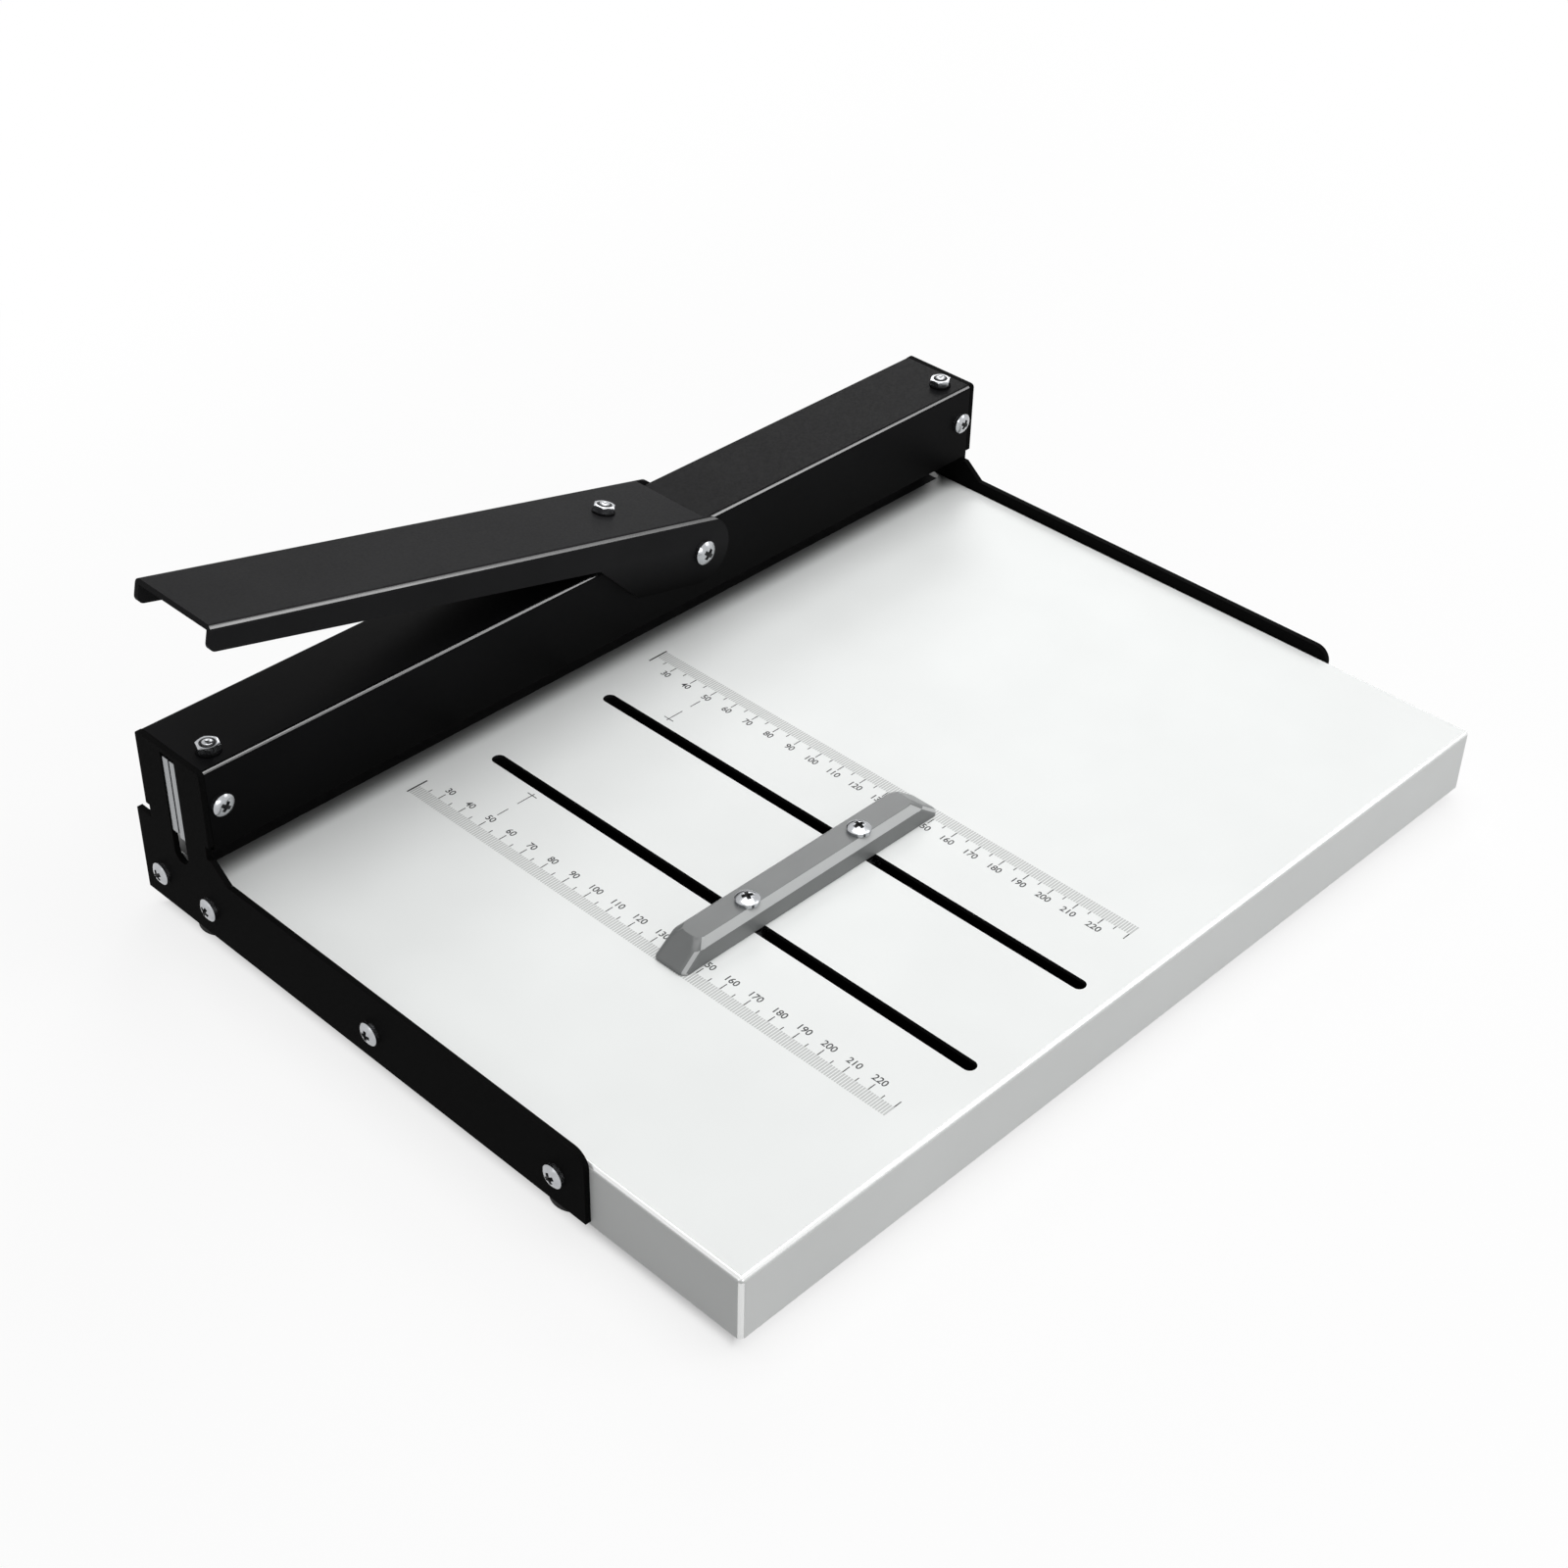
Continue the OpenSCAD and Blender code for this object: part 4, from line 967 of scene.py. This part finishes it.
def hex_nut():
    """An M4 hex nut on z = 0 with turned corners, and a bore with a countersink at both ends."""
    corner_r = NUT_AF / sqrt(3)
    turned = (corner_r - NUT_AF / 2) * tan(NUT_CHAMFER)
    face_r = NUT_AF / 2 * NUT_FACE
    bore_r = STUD_R + NUT_ROOM
    mouth_r = bore_r + NUT_MOUTH
    bpy.ops.mesh.primitive_cylinder_add(vertices=6, radius=corner_r, depth=NUT_H, location=(0, 0, NUT_H / 2))
    nut = applied("nut")
    corners = [(0, 0), (face_r, 0), (corner_r, turned), (corner_r, NUT_H - turned), (face_r, NUT_H),
               (0, NUT_H)]
    carve(nut, lathe("corners", corners, NUT_SIDES), "INTERSECT")
    bore = [(0, -OVERLAP), (mouth_r, -OVERLAP), (mouth_r, 0), (bore_r, NUT_MOUTH),
            (bore_r, NUT_H - NUT_MOUTH), (mouth_r, NUT_H), (mouth_r, NUT_H + OVERLAP), (0, NUT_H + OVERLAP)]
    carve(nut, lathe("bore", bore))
    ease(nut, FASTENER_EDGE)
    nut.data.materials.append(ZINC)
    # Painted shade in the bore and its countersinks
    paint_faces(nut, RECESS_SHADE, lambda face: face.calc_center_median().xy.length < mouth_r)
    return nut


def washer():
    """A flat M4 washer on z = 0."""
    bore_r = STUD_R + WASHER_ROOM
    outline = [(bore_r, 0), (WASHER_R, 0), (WASHER_R, WASHER_T), (bore_r, WASHER_T), (bore_r, 0)]
    ring = lathe("washer", outline)
    ease(ring, WASHER_EDGE)
    return ring


def stud(name, profile, thread_low, top):
    """A stud turned from a profile, with thread rings from a height up to its domed and dimpled end."""
    rings = max(int((top - STUD_END_H - thread_low) / THREAD_PITCH), 0)
    for i in range(rings):
        foot = thread_low + i * THREAD_PITCH
        root = (STUD_R - THREAD_DEPTH, foot + THREAD_ROOT)
        profile += [(STUD_R, foot), root, (STUD_R, foot + THREAD_CREST)]
    profile += [(STUD_R - inset, top - drop) for inset, drop in STUD_DOME]
    profile += [(radius, top - drop) for radius, drop in STUD_DIMPLE]
    piece = lathe(name, profile, STUD_SIDES)
    piece.data.materials.append(ZINC)

    def is_oily(face):
        centre = face.calc_center_median()
        bright = STUD_BRIGHT_FROM < centre.xy.length < STUD_BRIGHT_TO
        return centre.z > top - STUD_END_H and not bright

    # Painted shade on the stud's end, leaving a ring of bare zinc
    paint_faces(piece, RECESS_SHADE, is_oily)
    return piece


def facing(direction, point, turn=0):
    """The place of a fastener whose head points in a direction, turned about its own axis."""
    swing = Vector(direction).to_track_quat("Z", "Y").to_matrix().to_4x4()
    return Matrix.Translation(point) @ swing @ Matrix.Rotation(turn, 4, "Z")


def scatter(model, name, places, finish, body, node, frame_place=CREASE_PLACE):
    """Seats one copy of a modelled fastener at each place, and throws the model away."""
    for count, place in enumerate(places, 1):
        seat(copy_of(model, f"{name}_{count}", place), finish, body, node, frame_place)
    bpy.data.objects.remove(model, do_unlink=True)


def side_plate_screws():
    spots = [(side, y) for side in (-1, 1) for y in PLATE_SCREW_PLACES]
    places = [facing((side, 0, 0), (-side * plate_low.x, y, -PLATE_SCREW_DROP), turn)
              for (side, y), turn in zip(spots, PLATE_SCREW_TURNS)]
    model = pan_screw(PLATE_HEAD_R, PLATE_HEAD_H, M4_R, PLATE_SHANK)
    scatter(model, "side_plate_screw", places, ZINC, "frame", "side_plate_screws")


def cover_screws():
    spots = [(face, x) for face in (-1, 1) for x in (-COVER_SCREW_X, COVER_SCREW_X)]
    places = [facing((0, face, 0), (x, face * cover_high.y, COVER_SCREW_H), turn)
              for (face, x), turn in zip(spots, COVER_SCREW_TURNS)]
    model = pan_screw(PLATE_HEAD_R, PLATE_HEAD_H, M4_R, COVER_SHANK)
    scatter(model, "cover_screw", places, ZINC, "frame", "cover_screws")


def pivot_screws():
    places = [facing((0, face, 0), (PIVOT.x, face * (LEVER_HALF + PIVOT_HEAD_ROOM), PIVOT.z), turn)
              for face, turn in zip((-1, 1), PIVOT_SCREW_TURNS)]
    model = pan_screw(PIVOT_HEAD_R, PIVOT_HEAD_H, PIVOT_R, PIVOT_SHANK)
    scatter(model, "pivot_screw", places, ZINC, "frame", "pivot_screws")


def stop_screws():
    places = [facing((0, 0, 1), (x, stop_high.y - STOP_SCREW_IN, stop_high.z), turn)
              for x, turn in zip(GAUGE_X, STOP_SCREW_TURNS)]
    model = pan_screw(STOP_HEAD_R, STOP_HEAD_H, M4_R, STOP_SHANK)
    scatter(model, "stop_screw", places, ZINC, "stop", "stop_screws")


def guide_nuts():
    places = [facing((0, 0, 1), (x, GUIDE_Y, cover_high.z + WASHER_T), turn)
              for x, turn in zip((-GUIDE_X, GUIDE_X), GUIDE_NUT_TURNS)]
    scatter(hex_nut(), "guide_nut", places, ZINC, "frame", "guide_nuts")
    places = [facing((0, 0, 1), (x, GUIDE_Y, cover_high.z)) for x in (-GUIDE_X, GUIDE_X)]
    scatter(washer(), "guide_washer", places, BLACK_OXIDE_AND_SHADE, "frame", "guide_washers")


def press_nut():
    place = facing((0, 0, 1), (-PRESS_ARM, 0, LEVER_TOP + WASHER_T), PRESS_NUT_TURN)
    scatter(hex_nut(), "press_nut", [place], ZINC, "lever", "press_stud_nut", LEVER_PLACE)
    place = facing((0, 0, 1), (-PRESS_ARM, 0, LEVER_TOP))
    scatter(washer(), "press_washer", [place], BLACK_OXIDE_AND_SHADE, "lever", "press_stud_washer",
            LEVER_PLACE)


def guide_studs():
    low, high = span("guide_studs")
    collar_top = cover_high.z - COVER_T
    collar_low = collar_top - COLLAR_H
    profile = [(0, low.z), (STUD_R - STUD_CHAMFER, low.z), (STUD_R, low.z + STUD_CHAMFER),
               (STUD_R, collar_low), (COLLAR_R, collar_low), (COLLAR_R, collar_top), (STUD_R, collar_top)]
    model = stud("guide_stud", profile, cover_high.z, high.z)
    places = [Matrix.Translation((x, GUIDE_Y, 0)) for x in (-GUIDE_X, GUIDE_X)]
    scatter(model, "guide_stud", places, ZINC, "frame", "guide_studs")


def press_stud():
    to_lever = LEVER_PLACE.inverted()
    heights = [(to_lever @ vertex.co).z for vertex in frame["nodes"]["press_stud"].data.vertices]
    low, high = min(heights), max(heights)
    angles = [pi * i / (2 * STUD_TIP_STEPS) for i in range(STUD_TIP_STEPS + 1)]
    tip = [(STUD_R * sin(angle), low + STUD_R * (1 - cos(angle))) for angle in angles]
    collar_top = LEVER_TOP - LEVER_T
    collar_low = collar_top - PRESS_COLLAR_T
    profile = [*tip, (STUD_R, collar_low), (PRESS_COLLAR_R, collar_low), (PRESS_COLLAR_R, collar_top),
               (STUD_R, collar_top)]
    model = stud("press_stud", profile, LEVER_TOP + WASHER_T, high)
    place = Matrix.Translation((-PRESS_ARM, 0, 0))
    scatter(model, "press_stud", [place], ZINC, "lever", "press_stud", LEVER_PLACE)


# Feet
def feet():
    low, high = span("rubber_feet")
    sole_r = FOOT_R - FOOT_TAPER
    hole_r = M4_R + FOOT_SCREW_ROOM
    sole_edge = [(sole_r - SOLE_ROUND, 0), (sole_r - SOLE_ROUND_MID, SOLE_ROUND_MID), (sole_r, SOLE_ROUND)]
    outline = [(hole_r, FOOT_SEAT_H), (FOOT_BORE_R, FOOT_SEAT_H), (FOOT_BORE_R, 0), *sole_edge,
               (FOOT_R, FOOT_H), (hole_r, FOOT_H), (hole_r, FOOT_SEAT_H)]
    model = lathe("foot", outline)
    ease(model, FOOT_EDGE)
    places = [Matrix.Translation((x, y, low.z)) for x in (low.x + FOOT_R, high.x - FOOT_R)
              for y in (low.y + FOOT_R, high.y - FOOT_R)]
    scatter(model, "rubber_foot", places, RUBBER, "frame", "rubber_feet")


# Blade holder
def clamp_bars():
    for node, name in (("blade_front_clamp", "front_clamp_bar"), ("blade_rear_clamp", "rear_clamp_bar")):
        bar = block(name, *span(node))
        ease(bar, BAR_EDGE)
        seat(bar, STEEL, "blade", node)


# Return springs
def return_springs():
    """Wire springs under the lugs: a closed curl at each end and open curls between."""
    low, high = span("return_spring_left")
    bpy.ops.mesh.primitive_circle_add(vertices=WIRE_SIDES, radius=WIRE_R, fill_type="NGON",
                                      location=(COIL_R, 0, low.z + WIRE_R), rotation=(pi / 2, 0, 0))
    coil = applied("coil")
    open_rise = (high.z - low.z - 2 * WIRE_R - 2 * CLOSED_PITCH) / OPEN_CURLS
    rises = [CLOSED_PITCH, *[open_rise] * OPEN_CURLS, CLOSED_PITCH]
    choose(coil, "FACE", lambda face: True)
    for rise in rises:
        for i in range(CURL_STEPS):
            bpy.ops.mesh.extrude_region_move(TRANSFORM_OT_translate={"value": (0, 0, rise / CURL_STEPS)})
            bpy.ops.transform.rotate(value=2 * pi / CURL_STEPS, orient_axis="Z", center_override=(0, 0, 0))
    bpy.ops.mesh.select_all(action="SELECT")
    bpy.ops.mesh.normals_make_consistent(inside=False)
    bpy.ops.object.mode_set(mode="OBJECT")
    for side, node in ((-1, "return_spring_left"), (1, "return_spring_right")):
        piece = copy_of(coil, node + "_coil", Matrix.Translation((side * GUIDE_X, GUIDE_Y, 0)))
        seat(piece, WIRE, "frame", node)
        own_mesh(piece)
    bpy.data.objects.remove(coil, do_unlink=True)


# Printed rulers
def ticks(name, step, outer_x, inner_x, width):
    """A row of printed lines across a ruler, one for each step."""
    low, high = sorted((outer_x, inner_x))
    first = block(name, (low, -RULER_FROM - width / 2, 0), (high, -RULER_FROM + width / 2, INK_T))
    modify(first, "ARRAY", count=(RULER_TO - RULER_FROM) // step + 1, use_relative_offset=False,
           use_constant_offset=True, constant_offset_displace=(0, -step, 0))
    return first


def ink_line(start, end, width=LINE_W):
    """One printed line, along x or y."""
    half = Vector((width / 2, width / 2))
    low = Vector(map(min, start, end)) - half
    high = Vector(map(max, start, end)) + half
    return block("line", (*low, 0), (*high, INK_T))


def printed_number(value, x):
    """A printed number whose top points to +x, centred on its line."""
    bpy.ops.object.text_add()
    text = bpy.context.object
    text.data.body = str(value)
    text.data.align_x = "CENTER"
    text.data.size = NUMBER_H / NUMBER_H_SHARE
    text.data.extrude = INK_T / 2
    text.data.offset = NUMBER_SWELL
    bpy.ops.object.convert(target="MESH")
    digits = bpy.context.object
    digits.data.transform(Matrix.Translation((x, -value, INK_T / 2)) @ Matrix.Rotation(-pi / 2, 4, "Z"))
    return digits


def ruler(name, outer_x, inward, number_x):
    """One printed ruler: millimetre lines from its outer edge inwards, its numbers and its index mark."""
    band_x = outer_x + inward * MM_MARK
    marks = [ticks("millimetres", 1, outer_x, band_x, MM_LINE_W),
             ticks("fives", 5, band_x, outer_x + inward * FIVE_MARK, LINE_W),
             ticks("tens", 10, band_x, outer_x + inward * TEN_MARK, LINE_W)]
    marks += [printed_number(value, number_x) for value in range(NUMBER_FROM, NUMBER_TO + 1, NUMBER_STEP)]
    index_x = outer_x + inward * INDEX_IN
    for start, end in INDEX_DASHES:
        marks.append(ink_line((index_x + inward * start, -INDEX_AT), (index_x + inward * end, -INDEX_AT)))
    cross_x = index_x + inward * INDEX_CROSS
    marks.append(ink_line((cross_x, -INDEX_AT - INDEX_CROSS_HALF), (cross_x, -INDEX_AT + INDEX_CROSS_HALF)))
    first_end = (outer_x + inward * FIRST_MARK, -RULER_FROM)
    marks.append(ink_line((outer_x, -RULER_FROM), first_end, FIRST_LINE_W))
    only(marks[0])
    for mark in marks:
        mark.select_set(True)
    bpy.ops.object.join()
    print_layer = bpy.context.object
    print_layer.name = name
    seat(print_layer, INK, "frame")
    band_low, band_high = sorted((outer_x * MM, band_x * MM))
    band_rear = CREASE.y - (RULER_FROM + BAND_START) * MM

    def in_band(face):
        centre = face.calc_center_median()
        across = band_low - BAND_ROOM * MM < centre.x < band_high + BAND_ROOM * MM
        return across and centre.y < band_rear

    paint_faces(print_layer, PALE_INK, in_band)


# Floor, lights, background and camera
def seen_directly(tree):
    """A factor that is 1 for rays that show a surface directly or by reflection, and 0 for bounced light."""
    path = add(tree, "ShaderNodeLightPath")
    seen = add(tree, "ShaderNodeMath", operation="ADD",
               links={0: path.outputs["Is Camera Ray"], 1: path.outputs["Is Glossy Ray"]})
    seen = add(tree, "ShaderNodeMath", operation="ADD", use_clamp=True,
               links={0: seen.outputs[0], 1: path.outputs["Is Transmission Ray"]})
    return seen.outputs[0]


def floor():
    bpy.ops.mesh.primitive_plane_add(size=FLOOR_SIZE)
    ground = applied("floor")
    made, tree, start = new_finish("pale studio floor with painted shadow")
    bounce = add(tree, "ShaderNodeBsdfDiffuse", {"Color": hex_colour("#A0A0A0")})
    glow = add(tree, "ShaderNodeEmission", {"Color": hex_colour("#FFFFFF"), "Strength": 1})
    # The white share ends at the part's footprint, so that the floor under it stays in its shadow
    split = add(tree, "ShaderNodeSeparateXYZ", links={"Vector": start})
    reach = []
    for axis in (0, 1):
        size = add(tree, "ShaderNodeMath", operation="ABSOLUTE", links={0: split.outputs[axis]})
        size = add(tree, "ShaderNodeMath", {1: 1 / cad_box[1][axis]}, {0: size.outputs[0]},
                   operation="MULTIPLY")
        reach.append(size.outputs[0])
    beyond = add(tree, "ShaderNodeMath", operation="MAXIMUM", links={0: reach[0], 1: reach[1]})
    # Painted shadow: the floor's own colour turns dark grey under the part's footprint
    clear_of_shadow = add(tree, "ShaderNodeMapRange",
               {"From Min": SHADE_FROM, "From Max": SHADE_TO, "To Min": 0, "To Max": 1},
               {"Value": beyond.outputs[0]}, interpolation_type="SMOOTHSTEP")
    tone = add(tree, "ShaderNodeMix", {"A": hex_colour("#1C1C1C"), "B": hex_colour("#FAFAFA")},
               {"Factor": clear_of_shadow.outputs[0]}, data_type="RGBA")
    lit = add(tree, "ShaderNodeBsdfDiffuse", links={"Color": tone.outputs["Result"]})
    share = add(tree, "ShaderNodeMapRange",
                {"From Min": WHITE_FROM, "From Max": WHITE_TO, "To Min": 0, "To Max": WHITE_SHARE},
                {"Value": beyond.outputs[0]}, interpolation_type="SMOOTHSTEP")
    far = add(tree, "ShaderNodeMapRange",
              {"From Min": FAR_FROM, "From Max": FAR_TO, "To Min": 0, "To Max": FAR_SHARE},
              {"Value": beyond.outputs[0]}, interpolation_type="SMOOTHSTEP")
    share = add(tree, "ShaderNodeMath", operation="ADD", links={0: share.outputs[0], 1: far.outputs[0]})
    shown = add(tree, "ShaderNodeMixShader",
                links={"Fac": share.outputs[0], 1: lit.outputs[0], 2: glow.outputs[0]})
    mixed = add(tree, "ShaderNodeMixShader",
                links={"Fac": seen_directly(tree), 1: bounce.outputs[0], 2: shown.outputs[0]})
    add(tree, "ShaderNodeOutputMaterial", links={"Surface": mixed.outputs[0]})
    ground.data.materials.append(made)


def background():
    world = bpy.data.worlds.new("studio")
    world.use_nodes = True
    bpy.context.scene.world = world
    tree = world.node_tree
    tree.nodes.clear()
    dim = add(tree, "ShaderNodeBackground", {"Color": hex_colour("#FFFFFF"), "Strength": WORLD_LIGHT})
    white = add(tree, "ShaderNodeBackground", {"Color": hex_colour("#FFFFFF"), "Strength": 1})
    mixed = add(tree, "ShaderNodeMixShader",
                links={"Fac": seen_directly(tree), 1: dim.outputs[0], 2: white.outputs[0]})
    add(tree, "ShaderNodeOutputWorld", links={"Surface": mixed.outputs[0]})


def softbox(name, direction, distance, width, height, share, upright=(0, 0, 1)):
    """An area lamp that gives a level surface a share of full white, aimed at the middle of the part."""
    away = Vector(direction).normalized()
    bpy.ops.object.light_add(type="AREA", location=LAMP_AIM + away * distance)
    lamp = bpy.context.object
    lamp.name = name
    across = Vector(upright).cross(away).normalized()
    lamp.rotation_mode = "QUATERNION"
    lamp.rotation_quaternion = Matrix((across, away.cross(across), away)).transposed().to_quaternion()
    lamp.data.shape = "RECTANGLE"
    lamp.data.size = width
    lamp.data.size_y = height
    lamp.data.energy = share * (pi * distance) ** 2 / away.z


def camera():
    bpy.ops.object.camera_add(location=CREASE + CAMERA_PLACE * MM)
    view = bpy.context.object
    view.rotation_mode = "QUATERNION"
    view.rotation_quaternion = CAMERA_FORWARD.to_track_quat("-Z", "Y") @ Quaternion((0, 0, 1), CAMERA_ROLL)
    view.data.lens = CAMERA_LENS
    view.data.sensor_width = CAMERA_SENSOR_W
    view.data.clip_start = CAMERA_NEAR
    bpy.context.scene.camera = view


dress_nodes()
table_sheet()
side_plate(-1, "left_plate_sheet", "left_side_plate")
side_plate(1, "right_plate_sheet", "right_side_plate")
cover_sheet()
lever_sheet()
stop_casting()
clamp_bars()
return_springs()
side_plate_screws()
cover_screws()
pivot_screws()
stop_screws()
guide_nuts()
press_nut()
guide_studs()
press_stud()
feet()
ruler("left_ruler_print", LEFT_RULER_X, 1, LEFT_NUMBER_X)
ruler("right_ruler_print", RIGHT_RULER_X, -1, RIGHT_NUMBER_X)
floor()
background()
softbox("key softbox", (0.1, -0.02, 0.97), distance=3, width=3.2, height=2.8, share=0.85)
softbox("front softbox", (-0.3, -0.92, 0.18), distance=3, width=1.4, height=0.6, share=0.032)
softbox("left softbox", (-0.96, 0.1, 0.26), distance=3, width=1.2, height=0.6, share=0.012)
softbox("strip softbox", (0.62, -0.52, 0.53), distance=1.6, width=0.5, height=1.2, share=0.1,
        upright=(0, 0.7, 0.7))
softbox("rim softbox", (0.66, 0.547, 0.5), distance=3, width=1.2, height=0.9, share=0.08)
camera()
bpy.context.scene.view_settings.view_transform = "Standard"
